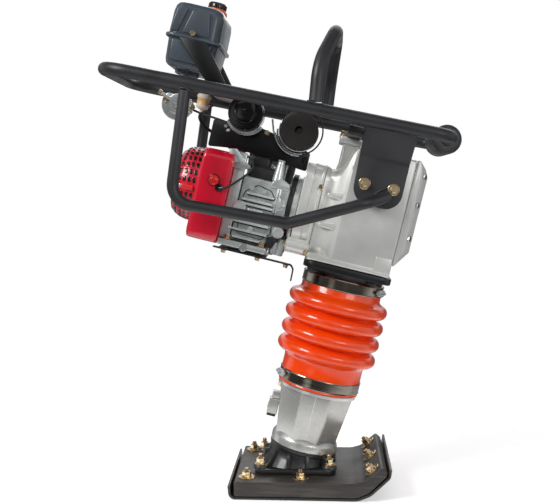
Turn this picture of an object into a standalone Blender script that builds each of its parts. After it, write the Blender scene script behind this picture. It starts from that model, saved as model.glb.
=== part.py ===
"""Jumping jack rammer: an upright soil rammer with a petrol engine, leaning forward on its shoe.

World frame: +X is the toe side, +Y is the machine's left side, +Z is up. The origin lies on the sole plane
where the ram axis meets the ground. Everything above the shoe is modelled in the ram frame: its W axis runs
up the leaning ram axis, its U axis points forward and down, and Y is shared with the world.
"""
import math

import bmesh
import bpy
from mathutils import Vector

MM = 0.001
GAP = 0.4 * MM                    # free space between pieces that touch
LEAN = math.radians(13.5)         # the ram axis leans this far forward from upright

# shoe and foot (world frame)
SHOE_HALF_WIDTH = 140 * MM
PLATE_THICK = 5 * MM
BOARD_TOP = 37 * MM
TOE_FLAT_END = 138 * MM
FOOT_BASE_HALF = 90 * MM
FOOT_BASE_X = 4.5 * MM
FOOT_BASE_THICK = 11 * MM

# leg, springs and bellows (ram frame: heights are W)
COLLAR_LOW = 86 * MM
LEG_LOW_APOTHEM = 66 * MM
LEG_TOP_APOTHEM = 80 * MM
LEG_TOP = 216 * MM
LEG_BORE = 56 * MM
LEG_FLOOR = 114 * MM
SPIGOT_RADIUS = 84 * MM
CUFF_RADIUS = 88.5 * MM
CUFF_LOW = 222.5 * MM
CUFF_HIGH = 470 * MM
RING_PITCH = 36.5 * MM
RING_HEIGHTS = [303 * MM + index * RING_PITCH for index in range(4)]
RING_OUT = 110.5 * MM
RING_ROUND = 13 * MM
RUBBER = 4 * MM
CLAMP_WIDTH = 20 * MM
LOW_CLAMP = 241 * MM
HIGH_CLAMP = 456 * MM
SLIDE_TUBE_OUT = 39.5 * MM
SLIDE_TUBE_IN = 33.5 * MM
SLIDE_TUBE_TOP = 446 * MM
GUIDE_OUT = 46 * MM
GUIDE_IN = 40 * MM
GUIDE_LOW = 200 * MM
PISTON_ROD = 11.8 * MM
PISTON_LOW = 250 * MM
PISTON_HIGH = 268 * MM
SPRING_RADIUS = 24 * MM
SPRING_WIRE = 4.5 * MM

# crankcase
CASE_LOW = 497 * MM
CASE_TOP = 752 * MM
CASE_BACK = -92 * MM
CASE_FRONT = 87.5 * MM
CASE_HALF = 100 * MM
CASE_WALL = 13 * MM
COVER_FACE = 118 * MM

# gearing: a pinion on the clutch drum turns the crank gear above it
ENGINE_W = 593.8 * MM             # height of the engine's shaft
MODULE = 3.81 * MM
PINION_TEETH = 8
GEAR_TEETH = 32
GEAR_W = ENGINE_W + MODULE * (PINION_TEETH + GEAR_TEETH) / 2
GEAR_BACK = -36 * MM
GEAR_FRONT = -24 * MM
THROW = 17.5 * MM                 # half the piston rod's stroke
ROD_LENGTH = 85 * MM
PIN_W = GEAR_W - THROW            # crank pin at the bottom of its circle
WRIST_W = PIN_W - ROD_LENGTH

# handle
RAIL_Y = 170 * MM
RAIL_RADIUS = 13.5 * MM
RAIL_SLOPE = 0.035                # the rails climb this much per unit forward in the ram frame
RAIL_W = 804.4 * MM               # rail height at U = 0
LOOP_BACK = -590 * MM
LOOP_FRONT = 136 * MM
LOOP_BACK_BEND = 60 * MM
LOOP_FRONT_BEND = 34 * MM
GUARD_RADIUS = 12 * MM
BAIL_RADIUS = 14.5 * MM
BAIL_U = -146 * MM
ROLLER_RADIUS = 31 * MM
ROLLER_HALF = 80 * MM
SIDE_PLATE_Y = 121 * MM
SIDE_PLATE_THICK = 6 * MM

# engine
BLOCK_BACK = -285 * MM
BLOCK_FRONT = -158 * MM
BLOCK_LOW = 484 * MM
BLOCK_TOP = 638 * MM
SHROUD_BACK = -353 * MM
SHROUD_LOW = 482 * MM
SHROUD_TOP = 679 * MM
STARTER_BACK = -407 * MM
STARTER_RADIUS = 82 * MM
FLYWHEEL_RADIUS = 72 * MM
GRIP_U = -365 * MM
GRIP_W = 620 * MM
HEAD_TILT = math.radians(35)      # the cylinder leans this far to the machine's left
FIN_RADIUS = 44 * MM
BARREL_RADIUS = 36 * MM
FIN_PITCH = 15 * MM
CLUTCH_BACK = -134.5 * MM
CLUTCH_FRONT = CASE_BACK - GAP

# controls, filters and carburettor
THROTTLE_U = -470 * MM
THROTTLE_W = 762 * MM
THROTTLE_RADIUS = 37 * MM
PRE_CLEANER_U = -286.8 * MM
PRE_CLEANER_W = 765.6 * MM
FILTER_U = -168.7 * MM
FILTER_W = 755.2 * MM
ARM_U = -303 * MM
ARM_W = 712 * MM
CHOKE_U = -289 * MM
CHOKE_W = 700 * MM

# tank
TANK_BACK = -484 * MM
TANK_FRONT = -372 * MM
TANK_LOW = 826 * MM
TANK_TOP = 955 * MM
TANK_HALF = 94 * MM
TANK_LEDGE = 889 * MM
CAP_U = -408 * MM
COCK_U = -441 * MM
COCK_W = 809 * MM

FINISHES = {
    "charcoal": ((0.055, 0.055, 0.058), 0.45, 0.0),
    "casting": ((0.62, 0.62, 0.60), 0.35, 0.9),
    "leg_paint": ((0.45, 0.45, 0.43), 0.35, 0.6),
    "orange": ((1.0, 0.09, 0.01), 0.25, 0.0),
    "stainless": ((0.6, 0.58, 0.55), 0.25, 1.0),
    "black_cast": ((0.02, 0.02, 0.02), 0.35, 0.3),
    "board": ((0.06, 0.055, 0.05), 0.5, 0.0),
    "steel": ((0.4, 0.4, 0.4), 0.3, 1.0),
    "red": ((0.6, 0.01, 0.02), 0.25, 0.0),
    "black_steel": ((0.01, 0.01, 0.01), 0.4, 0.3),
    "black_plastic": ((0.01, 0.01, 0.01), 0.3, 0.0),
    "filter_foam": ((0.04, 0.03, 0.03), 0.7, 0.0),
    "rubber": ((0.015, 0.015, 0.015), 0.7, 0.0),
    "slate": ((0.09, 0.11, 0.13), 0.35, 0.0),
    "milky": ((0.8, 0.75, 0.65), 0.3, 0.0),
    "cap_orange": ((0.8, 0.2, 0.05), 0.4, 0.0),
    "cast_iron": ((0.15, 0.15, 0.15), 0.5, 0.8),
    "zinc": ((0.6, 0.45, 0.2), 0.3, 1.0),
}


def clear_scene():
    """Remove whatever the scene holds."""
    for thing in list(bpy.data.objects):
        bpy.data.objects.remove(thing, do_unlink=True)


def collection(name):
    """Make a collection under the scene's own."""
    group = bpy.data.collections.new(name)
    bpy.context.scene.collection.children.link(group)
    return group


def finish_material(name):
    """Return the Principled material of a named finish, making it the first time."""
    known = bpy.data.materials.get(name)
    if known:
        return known
    colour, roughness, metallic = FINISHES[name]
    made = bpy.data.materials.new(name)
    made.use_nodes = True
    shader = made.node_tree.nodes["Principled BSDF"]
    shader.inputs["Base Color"].default_value = (*colour, 1)
    shader.inputs["Roughness"].default_value = roughness
    shader.inputs["Metallic"].default_value = metallic
    return made


clear_scene()
PARTS = collection("jumping_jack_rammer")
CUTTERS = collection("cutters")
RAM = bpy.data.objects.new("ram_frame", None)
RAM.rotation_euler = (0, LEAN, 0)
PARTS.objects.link(RAM)

TURN_TO = {
    "W": (0, 0, 0),
    "U": (0, math.pi / 2, 0),
    "Y": (-math.pi / 2, 0, 0),
    "-U": (0, -math.pi / 2, 0),
    "-Y": (math.pi / 2, 0, 0),
}


def place(name, data, finish, at=(0, 0, 0), turn=(0, 0, 0), frame=RAM):
    """Put mesh or curve data into the scene as a named piece of one finish."""
    piece = bpy.data.objects.new(name, data)
    data.materials.append(finish_material(finish))
    piece.location = at
    piece.rotation_euler = turn
    piece.parent = frame
    PARTS.objects.link(piece)
    return piece


def mesh_of(name, bm):
    """Turn a bmesh into a smooth-shaded mesh with its hard edges kept."""
    mesh = bpy.data.meshes.new(name)
    bm.to_mesh(mesh)
    bm.free()
    mesh.shade_smooth()
    mesh.set_sharp_from_angle(angle=math.radians(35))
    return mesh


def box(name, low, high, finish, bevel=0.0, frame=RAM):
    """A block between two corners, its edges rounded by a Bevel."""
    low, high = Vector(low), Vector(high)
    bm = bmesh.new()
    bmesh.ops.create_cube(bm, size=1)
    bmesh.ops.scale(bm, vec=high - low, verts=bm.verts)
    piece = place(name, mesh_of(name, bm), finish, at=(low + high) / 2, frame=frame)
    if bevel:
        round_edges(piece, bevel)
    return piece


def round_edges(piece, width, segments=2):
    """Round a piece's hard edges."""
    edge = piece.modifiers.new("round", "BEVEL")
    edge.width = width
    edge.segments = segments
    edge.limit_method = "ANGLE"
    edge.angle_limit = math.radians(40)


def rod(name, start, length, radius, finish, axis="W", top=None, sides=20, frame=RAM):
    """A round bar or cone from start along an axis; top is the far radius when it tapers."""
    bm = bmesh.new()
    bmesh.ops.create_cone(bm, cap_ends=True, segments=sides, radius1=radius,
                          radius2=radius if top is None else top, depth=length)
    bmesh.ops.translate(bm, vec=(0, 0, length / 2), verts=bm.verts)
    return place(name, mesh_of(name, bm), finish, at=start, turn=TURN_TO[axis], frame=frame)


def turned(name, profile, finish, at=(0, 0, 0), axis="W", closed=True, steps=20):
    """A lathe-turned piece: profile holds (radius, height) points, down the outer side first."""
    bm = bmesh.new()
    points = [bm.verts.new((radius, 0, height)) for radius, height in profile]
    for first, second in zip(points, points[1:]):
        bm.edges.new((first, second))
    if closed:
        bm.edges.new((points[-1], points[0]))
    piece = place(name, mesh_of(name, bm), finish, at=at, turn=TURN_TO[axis])
    lathe = piece.modifiers.new("lathe", "SCREW")
    lathe.steps = steps
    lathe.render_steps = steps
    lathe.use_merge_vertices = True
    lathe.merge_threshold = 0.00001
    return piece


def ring(name, low, high, inner, outer, finish, at=(0, 0, 0), axis="W", steps=20):
    """A plain tube or washer."""
    profile = [(outer, high), (outer, low), (inner, low), (inner, high)]
    return turned(name, profile, finish, at, axis, steps=steps)


def fillet(points, radii, closed=False, steps=5):
    """Round the corners of a path; radii gives each corner's radius, zero for a sharp one."""
    points = [Vector(point) for point in points]
    count = len(points)
    path = []
    for index, corner in enumerate(points):
        radius = radii[index] if isinstance(radii, (list, tuple)) else radii
        at_end = not closed and index in (0, count - 1)
        if at_end or radius <= 0:
            path.append(corner)
            continue
        back = (points[index - 1] - corner).normalized()
        ahead = (points[(index + 1) % count] - corner).normalized()
        half = back.angle(ahead) / 2
        reach = radius / math.tan(half)
        centre = corner + (back + ahead).normalized() * radius / math.sin(half)
        start = (corner + back * reach - centre).normalized()
        end = (corner + ahead * reach - centre).normalized()
        path += [centre + start.slerp(end, step / steps) * radius for step in range(steps + 1)]
    return path


def tube(name, path, radius, finish, closed=False, sides=2, frame=RAM):
    """A bent round tube along a path of points, capped at its ends."""
    line = bpy.data.curves.new(name, "CURVE")
    line.dimensions = "3D"
    line.bevel_depth = radius
    line.bevel_resolution = sides
    line.use_fill_caps = not closed
    spline = line.splines.new("POLY")
    spline.points.add(len(path) - 1)
    for knot, point in zip(spline.points, path):
        knot.co = (*point, 1)
    spline.use_cyclic_u = closed
    return place(name, line, finish, frame=frame)


def flat(name, outline, half, finish, plane="UW", offset=0.0, frame=RAM):
    """A plate cut to an outline and half as thick each way; plane names the outline's two axes."""
    line = bpy.data.curves.new(name, "CURVE")
    line.dimensions = "2D"
    line.fill_mode = "BOTH"
    line.extrude = half
    spline = line.splines.new("POLY")
    spline.points.add(len(outline) - 1)
    for knot, point in zip(spline.points, outline):
        knot.co = (point[0], point[1], 0, 1)
    spline.use_cyclic_u = True
    if plane == "UW":
        at, turn = (0, offset, 0), (math.pi / 2, 0, 0)
    else:
        at, turn = (offset, 0, 0), (math.pi / 2, 0, math.pi / 2)
    return as_mesh(place(name, line, finish, at=at, turn=turn, frame=frame))


def as_mesh(piece):
    """Swap a curve piece for the mesh that it makes, with its caps welded."""
    bpy.context.view_layer.update()
    shape = piece.evaluated_get(bpy.context.evaluated_depsgraph_get())
    mesh = bpy.data.meshes.new_from_object(shape)
    bm = bmesh.new()
    bm.from_mesh(mesh)
    bmesh.ops.remove_doubles(bm, verts=bm.verts, dist=0.00001)
    bmesh.ops.dissolve_degenerate(bm, edges=bm.edges, dist=0.00001)
    bm.to_mesh(mesh)
    bm.free()
    mesh.shade_smooth()
    mesh.set_sharp_from_angle(angle=math.radians(35))
    name = piece.name
    solid = bpy.data.objects.new(name, mesh)
    solid.parent = piece.parent
    solid.location = piece.location
    solid.rotation_euler = piece.rotation_euler
    bpy.data.objects.remove(piece, do_unlink=True)
    solid.name = name
    PARTS.objects.link(solid)
    return solid


def ribbon(path, thick):
    """The outline of a bent strip: its path offset by half its thickness to each side."""
    path = [Vector(point).to_2d() for point in path]
    sides = ([], [])
    for index, point in enumerate(path):
        before = path[max(index - 1, 0)]
        after = path[min(index + 1, len(path) - 1)]
        along = (after - before).normalized()
        across = Vector((-along.y, along.x)) * thick / 2
        sides[0].append(point + across)
        sides[1].append(point - across)
    return sides[0] + sides[1][::-1]


def combine(piece, tool, operation):
    """Cut a piece with, or join it to, a helper that is then hidden."""
    change = piece.modifiers.new(operation.lower(), "BOOLEAN")
    change.operation = operation
    change.solver = "EXACT"
    change.object = tool
    PARTS.objects.unlink(tool)
    CUTTERS.objects.link(tool)
    tool.hide_render = True
    tool.display_type = "WIRE"
    return piece


def cut(piece, *tools):
    """Take helpers away from a piece."""
    for tool in tools:
        combine(piece, tool, "DIFFERENCE")
    return piece


def join(piece, *tools):
    """Weld helpers onto a piece."""
    for tool in tools:
        combine(piece, tool, "UNION")
    return piece


def rail_height(u):
    """Height of the handle rails' centre line at a place along U."""
    return RAIL_W + RAIL_SLOPE * u


# ---------------------------------------------------------------- shoe and foot

def shoe():
    """Steel wear plate, laminated board and the ribbed foot casting that stands on it."""
    half_plate = PLATE_THICK / 2
    sole_line = fillet([(-133.5 * MM, 29 * MM, 0), (-131 * MM, half_plate, 0), (TOE_FLAT_END, half_plate, 0),
                        (164 * MM, 13.5 * MM, 0), (204 * MM, 51 * MM, 0), (206.5 * MM, 69 * MM, 0)],
                       [0, 12 * MM, 45 * MM, 40 * MM, 14 * MM, 0], steps=4)
    flat("sole_plate", ribbon(sole_line, PLATE_THICK), SHOE_HALF_WIDTH, "board", frame=None)
    low = PLATE_THICK + GAP
    board_line = fillet([(-123 * MM, low, 0), (TOE_FLAT_END - 2 * MM, low, 0), (161 * MM, 16.5 * MM, 0),
                         (196.5 * MM, 51 * MM, 0), (200 * MM, 62 * MM, 0), (188 * MM, 73 * MM, 0),
                         (152 * MM, 43 * MM, 0), (130 * MM, BOARD_TOP, 0), (-123 * MM, BOARD_TOP, 0)],
                        [6 * MM, 45 * MM, 40 * MM, 6 * MM, 4 * MM, 5 * MM, 30 * MM, 40 * MM, 3 * MM],
                        closed=True, steps=4)
    flat("shoe_board", board_line, SHOE_HALF_WIDTH - 1.5 * MM, "board", frame=None)


def foot_casting():
    """Ribbed casting between the board and the leg: a level base under a leaning ring."""
    base_low = BOARD_TOP + GAP
    base_high = base_low + FOOT_BASE_THICK
    body = box("foot_casting", (FOOT_BASE_X - FOOT_BASE_HALF, -FOOT_BASE_HALF, base_low),
               (FOOT_BASE_X + FOOT_BASE_HALF, FOOT_BASE_HALF, base_high), "black_cast", frame=None)
    bell = turned("foot_bell", [(0, COLLAR_LOW + GAP), (74 * MM, COLLAR_LOW + GAP), (74 * MM, 76 * MM),
                                (69 * MM, 72 * MM), (72 * MM, 20 * MM), (0, 20 * MM)],
                  "black_cast", closed=False)
    join(body, bell)
    rib_line = [(55 * MM, 0), (97 * MM, 0), (97 * MM, 14 * MM), (74 * MM, 31 * MM), (55 * MM, 31 * MM)]
    for index in range(8):
        angle = math.radians(45 * index + 22.5)
        rib = flat("foot_rib", rib_line, 4 * MM, "black_cast", frame=None)
        rib.location = (FOOT_BASE_X + 4 * MM, 0, base_high - 6 * MM)
        rib.rotation_euler = (math.pi / 2, 0, angle)
        join(body, rib)
    trim = 120 * MM
    cut(body, box("foot_trim", (-trim, -trim, -40 * MM), (trim, trim, base_low), "black_cast", frame=None),
        box("foot_top_trim", (-trim, -trim, COLLAR_LOW - GAP), (trim, trim, 130 * MM), "black_cast"))
    return body


def leg():
    """Faceted light-alloy leg with its collar and spigot, and the slide tube that holds the springs."""
    outer = turned("spring_cylinder",
                   [(0, 262 * MM), (SPIGOT_RADIUS, 262 * MM), (SPIGOT_RADIUS, LEG_TOP + 5 * MM),
                    (88 * MM, LEG_TOP + 5 * MM), (88 * MM, LEG_TOP), (60 * MM, LEG_TOP),
                    (60 * MM, 107 * MM), (70 * MM, 107 * MM), (74 * MM, 103 * MM), (74 * MM, COLLAR_LOW),
                    (0, COLLAR_LOW)], "leg_paint", closed=False)
    corner = 1 / math.cos(math.pi / 8)
    facets = rod("leg_facets", (0, 0, 104 * MM), LEG_TOP + 1 * MM - 104 * MM, LEG_LOW_APOTHEM * corner,
                 "leg_paint", top=LEG_TOP_APOTHEM * corner, sides=8)
    facets.rotation_euler = (0, 0, math.pi / 8)
    join(outer, facets)
    cut(outer, rod("leg_bore", (0, 0, LEG_FLOOR), 200 * MM, LEG_BORE, "leg_paint", sides=24))
    cap_low = SLIDE_TUBE_TOP - 24 * MM
    turned("slide_tube", [(SLIDE_TUBE_OUT, SLIDE_TUBE_TOP), (SLIDE_TUBE_OUT, LEG_FLOOR + GAP),
                          (SLIDE_TUBE_IN, LEG_FLOOR + GAP), (SLIDE_TUBE_IN, cap_low),
                          (12.6 * MM, cap_low), (12.6 * MM, SLIDE_TUBE_TOP)], "steel")


def bellows():
    """Ringed elastomer boot between the leg and the flange, with its two band clamps."""
    neck = RING_OUT - 2 * RING_ROUND
    core = RING_OUT - RING_ROUND
    outside = [(CUFF_RADIUS, CUFF_HIGH), (CUFF_RADIUS, 432 * MM)]
    inside = []
    for height in reversed(RING_HEIGHTS):
        for step in range(4):
            angle = math.radians(90 - 60 * step)
            outside.append((core + RING_ROUND * math.cos(angle), height + RING_ROUND * math.sin(angle)))
        if height != RING_HEIGHTS[0]:
            outside.append((neck, height - RING_ROUND))
            outside.append((neck, height - RING_PITCH + RING_ROUND))
    outside += [(CUFF_RADIUS, 284 * MM), (CUFF_RADIUS, CUFF_LOW)]
    thin = RING_ROUND - RUBBER
    inside += [(SPIGOT_RADIUS + GAP, CUFF_LOW), (SPIGOT_RADIUS + GAP, 284 * MM)]
    for height in RING_HEIGHTS:
        for step in range(2):
            angle = math.radians(-50 + 100 * step)
            inside.append((core + thin * math.cos(angle), height + thin * math.sin(angle)))
        if height != RING_HEIGHTS[-1]:
            inside.append((neck - RUBBER, height + RING_PITCH / 2))
    inside += [(SPIGOT_RADIUS + GAP, 432 * MM), (SPIGOT_RADIUS + GAP, CUFF_HIGH)]
    turned("bellows", outside + inside, "orange")
    for name, height in (("lower_clamp", LOW_CLAMP), ("upper_clamp", HIGH_CLAMP)):
        ring(name, height - CLAMP_WIDTH / 2, height + CLAMP_WIDTH / 2,
             CUFF_RADIUS + GAP, CUFF_RADIUS + 2 * MM, "stainless")


# ---------------------------------------------------------------- ram drive

def gear_outline(teeth, root, tip, phase=0.0):
    """Outline of a straight-toothed gear: four points to a tooth."""
    outline = []
    pitch = 2 * math.pi / teeth
    for tooth in range(teeth):
        middle = phase + tooth * pitch
        for radius, share in ((root, -0.24), (tip, -0.12), (tip, 0.12), (root, 0.24)):
            angle = middle + share * pitch
            outline.append((radius * math.cos(angle), radius * math.sin(angle)))
    return outline


def gear(name, teeth, front, back, height, phase, finish):
    """A spur gear across U, standing on its own axis."""
    pitch_radius = MODULE * teeth / 2
    wheel = flat(name, gear_outline(teeth, pitch_radius - 2.9 * MM, pitch_radius + 1.8 * MM, phase),
                 (front - back) / 2, finish, plane="YW")
    wheel.location = ((front + back) / 2, 0, height)
    return wheel


def ram_drive():
    """Crank gear, pinion, connecting rod, piston rod, spring piston and springs."""
    pinion = gear("pinion_shaft", PINION_TEETH, GEAR_FRONT + 1 * MM, GEAR_BACK - 1 * MM, ENGINE_W,
                  math.pi / 2, "steel")
    join(pinion, rod("pinion_stem", (-105.5 * MM, 0, ENGINE_W), 85 * MM, 9 * MM, "steel", axis="U"))
    turned("clutch_drum", [(48 * MM, -108 * MM), (48 * MM, -132 * MM), (43.5 * MM, -132 * MM),
                           (43.5 * MM, -111.5 * MM), (9.4 * MM, -111.5 * MM), (9.4 * MM, -108 * MM)],
           "cast_iron", at=(0, 0, ENGINE_W), axis="U")
    join(pinion, rod("drum_nut", (-114 * MM, 0, ENGINE_W), 9 * MM, 8.9 * MM, "steel", axis="U"))
    crank = gear("crank_gear", GEAR_TEETH, GEAR_FRONT, GEAR_BACK, GEAR_W,
                 -math.pi / 2 + math.pi / GEAR_TEETH, "steel")
    join(crank, rod("crank_journal", (-86 * MM, 0, GEAR_W), 51 * MM, 12 * MM, "steel", axis="U"),
         rod("crank_boss", (-25 * MM, 0, PIN_W), 13 * MM, 16 * MM, "steel", axis="U"),
         rod("crank_pin", (-13 * MM, 0, PIN_W), 23 * MM, 10.6 * MM, "steel", axis="U"))
    link = ring("connecting_rod", -9 * MM, 9 * MM, 11.2 * MM, 20 * MM, "steel", at=(0, 0, PIN_W), axis="U")
    join(link, box("rod_shank", (-6 * MM, -8 * MM, WRIST_W), (6 * MM, 8 * MM, PIN_W - 15 * MM), "steel"),
         rod("rod_small_end", (-9 * MM, 0, WRIST_W), 18 * MM, 14 * MM, "steel", axis="U", sides=16),
         rod("rod_wrist_pin", (-11 * MM, 0, WRIST_W), 22 * MM, 8 * MM, "steel", axis="U", sides=16))
    fork = box("piston_rod", (-20 * MM, -17 * MM, 500 * MM), (20 * MM, 17 * MM, 582 * MM), "steel",
               bevel=3 * MM)
    cut(fork, box("fork_slot", (-12 * MM, -30 * MM, 514 * MM), (12 * MM, 30 * MM, 600 * MM), "steel"))
    join(fork, rod("rod_stem", (0, 0, PISTON_HIGH), 502 * MM - PISTON_HIGH, PISTON_ROD, "steel"),
         rod("rod_thread", (0, 0, 240 * MM), 40 * MM, 8.6 * MM, "steel"))
    ring("spring_piston", PISTON_LOW, PISTON_HIGH - GAP, 9 * MM, 32.8 * MM, "steel")
    for name, low, high in (("lower_spring", 119 * MM, 237 * MM), ("upper_spring", 274 * MM, 400 * MM)):
        turns, knots = 4, 9
        points = []
        for step in range(turns * knots + 1):
            angle = step * 2 * math.pi / knots
            height = low + (high - low) * step / (turns * knots)
            points.append((SPRING_RADIUS * math.cos(angle), SPRING_RADIUS * math.sin(angle), height))
        tube(name, points, SPRING_WIRE, "steel", sides=1)


# ---------------------------------------------------------------- crankcase

def crankcase():
    """Cast crankcase with its chamber, ears and bosses, the front cover and the clutch housing."""
    outline = [(CASE_BACK, CASE_LOW), (CASE_FRONT, CASE_LOW), (CASE_FRONT, CASE_TOP), (-42 * MM, CASE_TOP),
               (-58 * MM, 704 * MM), (CASE_BACK, 697 * MM)]
    case = flat("crankcase", outline, CASE_HALF, "casting")
    round_edges(case, 7 * MM)
    chamber = [(CASE_BACK + 12 * MM, 519 * MM), (CASE_FRONT + 9 * MM, 519 * MM),
               (CASE_FRONT + 9 * MM, CASE_TOP - CASE_WALL), (-35 * MM, CASE_TOP - CASE_WALL),
               (-50 * MM, 689 * MM), (CASE_BACK + 12 * MM, 685 * MM)]
    for side in (-1, 1):
        low, high = sorted((side * 22 * MM, side * 62 * MM))
        ear = box("case_ear", (-82 * MM, low, 752.6 * MM), (-33 * MM, high, 767 * MM), "casting",
                  bevel=2 * MM)
        web = box("case_ear_web", (-71 * MM, low + 4 * MM, 690 * MM), (-44 * MM, high - 4 * MM, 756 * MM),
                  "casting")
        join(case, ear, web)
    cut(case, flat("case_chamber", chamber, CASE_HALF - CASE_WALL, "casting"),
        rod("case_floor_bore", (0, 0, 480 * MM), 60 * MM, GUIDE_OUT + 3 * GAP, "casting"),
        rod("case_pinion_bore", (-120 * MM, 0, ENGINE_W), 60 * MM, 10 * MM, "casting", axis="U"),
        rod("case_crank_bore", (-89 * MM, 0, GEAR_W), 30 * MM, 12.6 * MM, "casting", axis="U"))
    cover_line = [(CASE_FRONT + GAP, 524 * MM), (95 * MM, 524 * MM), (COVER_FACE, 560 * MM),
                  (COVER_FACE, 722 * MM), (111 * MM, 737 * MM), (95 * MM, 753 * MM),
                  (CASE_FRONT + GAP, 753 * MM)]
    cover = flat("front_cover", cover_line, 95 * MM, "casting")
    round_edges(cover, 5 * MM)
    cut(cover, box("cover_hollow", (80 * MM, -78 * MM, 545 * MM), (105 * MM, 78 * MM, 734 * MM), "casting"))
    housing_line = fillet([(-82 * MM, 505 * MM, 0), (82 * MM, 505 * MM, 0), (82 * MM, 697 * MM, 0),
                           (-82 * MM, 697 * MM, 0)], 26 * MM, closed=True, steps=4)
    housing = flat("clutch_housing", housing_line, (CLUTCH_FRONT - CLUTCH_BACK) / 2, "casting", plane="YW",
                   offset=(CLUTCH_FRONT + CLUTCH_BACK) / 2)
    cut(housing,
        rod("clutch_hollow", (-150 * MM, 0, ENGINE_W), 48 * MM, 56 * MM, "casting", axis="U", sides=24),
        rod("clutch_bore", (-150 * MM, 0, ENGINE_W), 80 * MM, 10 * MM, "casting", axis="U"))
    flange = turned("bellows_flange", [(83.5 * MM, 482 * MM), (83.5 * MM, 436 * MM), (62 * MM, 436 * MM),
                                       (62 * MM, 482 * MM)], "black_steel")
    plate_line = fillet([(-95 * MM, -99 * MM, 0), (95 * MM, -99 * MM, 0), (95 * MM, 99 * MM, 0),
                         (-95 * MM, 99 * MM, 0)], 24 * MM, closed=True, steps=3)
    plate = flat("flange_plate", plate_line, 7.5 * MM, "black_steel")
    plate.location = (0, 0, CASE_LOW - GAP - 7.5 * MM)
    plate.rotation_euler = (0, 0, 0)
    join(flange, plate)
    cut(flange, rod("flange_bore", (0, 0, 470 * MM), 60 * MM, 60 * MM, "black_steel", sides=24))
    ring("guide_cylinder", GUIDE_LOW, 514 * MM, GUIDE_IN, GUIDE_OUT, "steel")


# ---------------------------------------------------------------- handle

def handle():
    """Closed tube loop, guard tubes, lifting bail, side plates, rubber pads and roller."""
    corners = [(LOOP_BACK, -RAIL_Y, 0), (LOOP_FRONT, -RAIL_Y, 0),
               (LOOP_FRONT, RAIL_Y, 0), (LOOP_BACK, RAIL_Y, 0)]
    loop = fillet(corners, [LOOP_BACK_BEND, LOOP_FRONT_BEND, LOOP_FRONT_BEND, LOOP_BACK_BEND], closed=True)
    route = [(point.x, point.y, rail_height(point.x)) for point in loop]
    tube("handle_frame", route, RAIL_RADIUS, "charcoal", closed=True, sides=2)
    for name, side in (("guard_tube_right", -1), ("guard_tube_left", 1)):
        knots = [(-407.5 * MM, side * RAIL_Y, rail_height(-407.5 * MM) - RAIL_RADIUS - 1.5 * MM),
                 (-386 * MM, side * RAIL_Y, 551 * MM), (-144 * MM, side * RAIL_Y, 564.5 * MM),
                 (0, side * RAIL_Y, 641 * MM), (34 * MM, side * 138 * MM, 660 * MM)]
        tube(name, fillet(knots, [0, 42 * MM, 40 * MM, 30 * MM, 0], steps=4), GUARD_RADIUS, "charcoal")
        bent = [(side * 157 * MM, 792.5 * MM), (side * SIDE_PLATE_Y, 738 * MM),
                (side * SIDE_PLATE_Y, 624 * MM)]
        plate = flat("side_plate" + name[10:], ribbon(bent, SIDE_PLATE_THICK), 58 * MM, "charcoal",
                     plane="YW", offset=17 * MM)
        shape = fillet([(-38 * MM, 830 * MM, 0), (-29 * MM, 626.5 * MM, 0), (71.5 * MM, 626.5 * MM, 0),
                        (69 * MM, 830 * MM, 0)], [0, 44 * MM, 40 * MM, 0], closed=True, steps=6)
        combine(plate, flat("plate_shape", shape, 200 * MM, "charcoal"), "INTERSECT")
        low, high = sorted((side * (CASE_HALF + GAP), side * (SIDE_PLATE_Y - SIDE_PLATE_THICK / 2 - GAP)))
        box("rubber_pad" + name[10:], (-28 * MM, low, 661 * MM), (67 * MM, high, 699 * MM), "rubber")
    bail_knots = [(BAIL_U, -168 * MM, 815 * MM), (BAIL_U - 11 * MM, -166 * MM, 893 * MM),
                  (BAIL_U + 4 * MM, -92 * MM, 972 * MM), (BAIL_U + 5 * MM, 92 * MM, 976 * MM),
                  (BAIL_U + 10 * MM, 166 * MM, 905 * MM), (BAIL_U + 20 * MM, 168 * MM, 815 * MM)]
    bail = fillet(bail_knots, [0, 90 * MM, 55 * MM, 55 * MM, 90 * MM, 0])
    tube("lifting_bail", bail, BAIL_RADIUS, "charcoal")
    inner = RAIL_RADIUS + GAP
    edge = 4 * MM
    turned("roller", [(ROLLER_RADIUS - edge, ROLLER_HALF), (ROLLER_RADIUS, ROLLER_HALF - edge),
                      (ROLLER_RADIUS, edge - ROLLER_HALF), (ROLLER_RADIUS - edge, -ROLLER_HALF),
                      (inner, -ROLLER_HALF), (inner, ROLLER_HALF)],
           "rubber", at=(LOOP_FRONT, 0, rail_height(LOOP_FRONT)), axis="-Y")
    bracket = ribbon([(-157 * MM, 787 * MM), (-155 * MM, 770 * MM), (155 * MM, 770 * MM),
                      (157 * MM, 787 * MM)], 4 * MM)
    flat("cross_bracket", bracket, 15 * MM, "black_steel", plane="YW", offset=-54 * MM)


# ---------------------------------------------------------------- tank and controls

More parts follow.
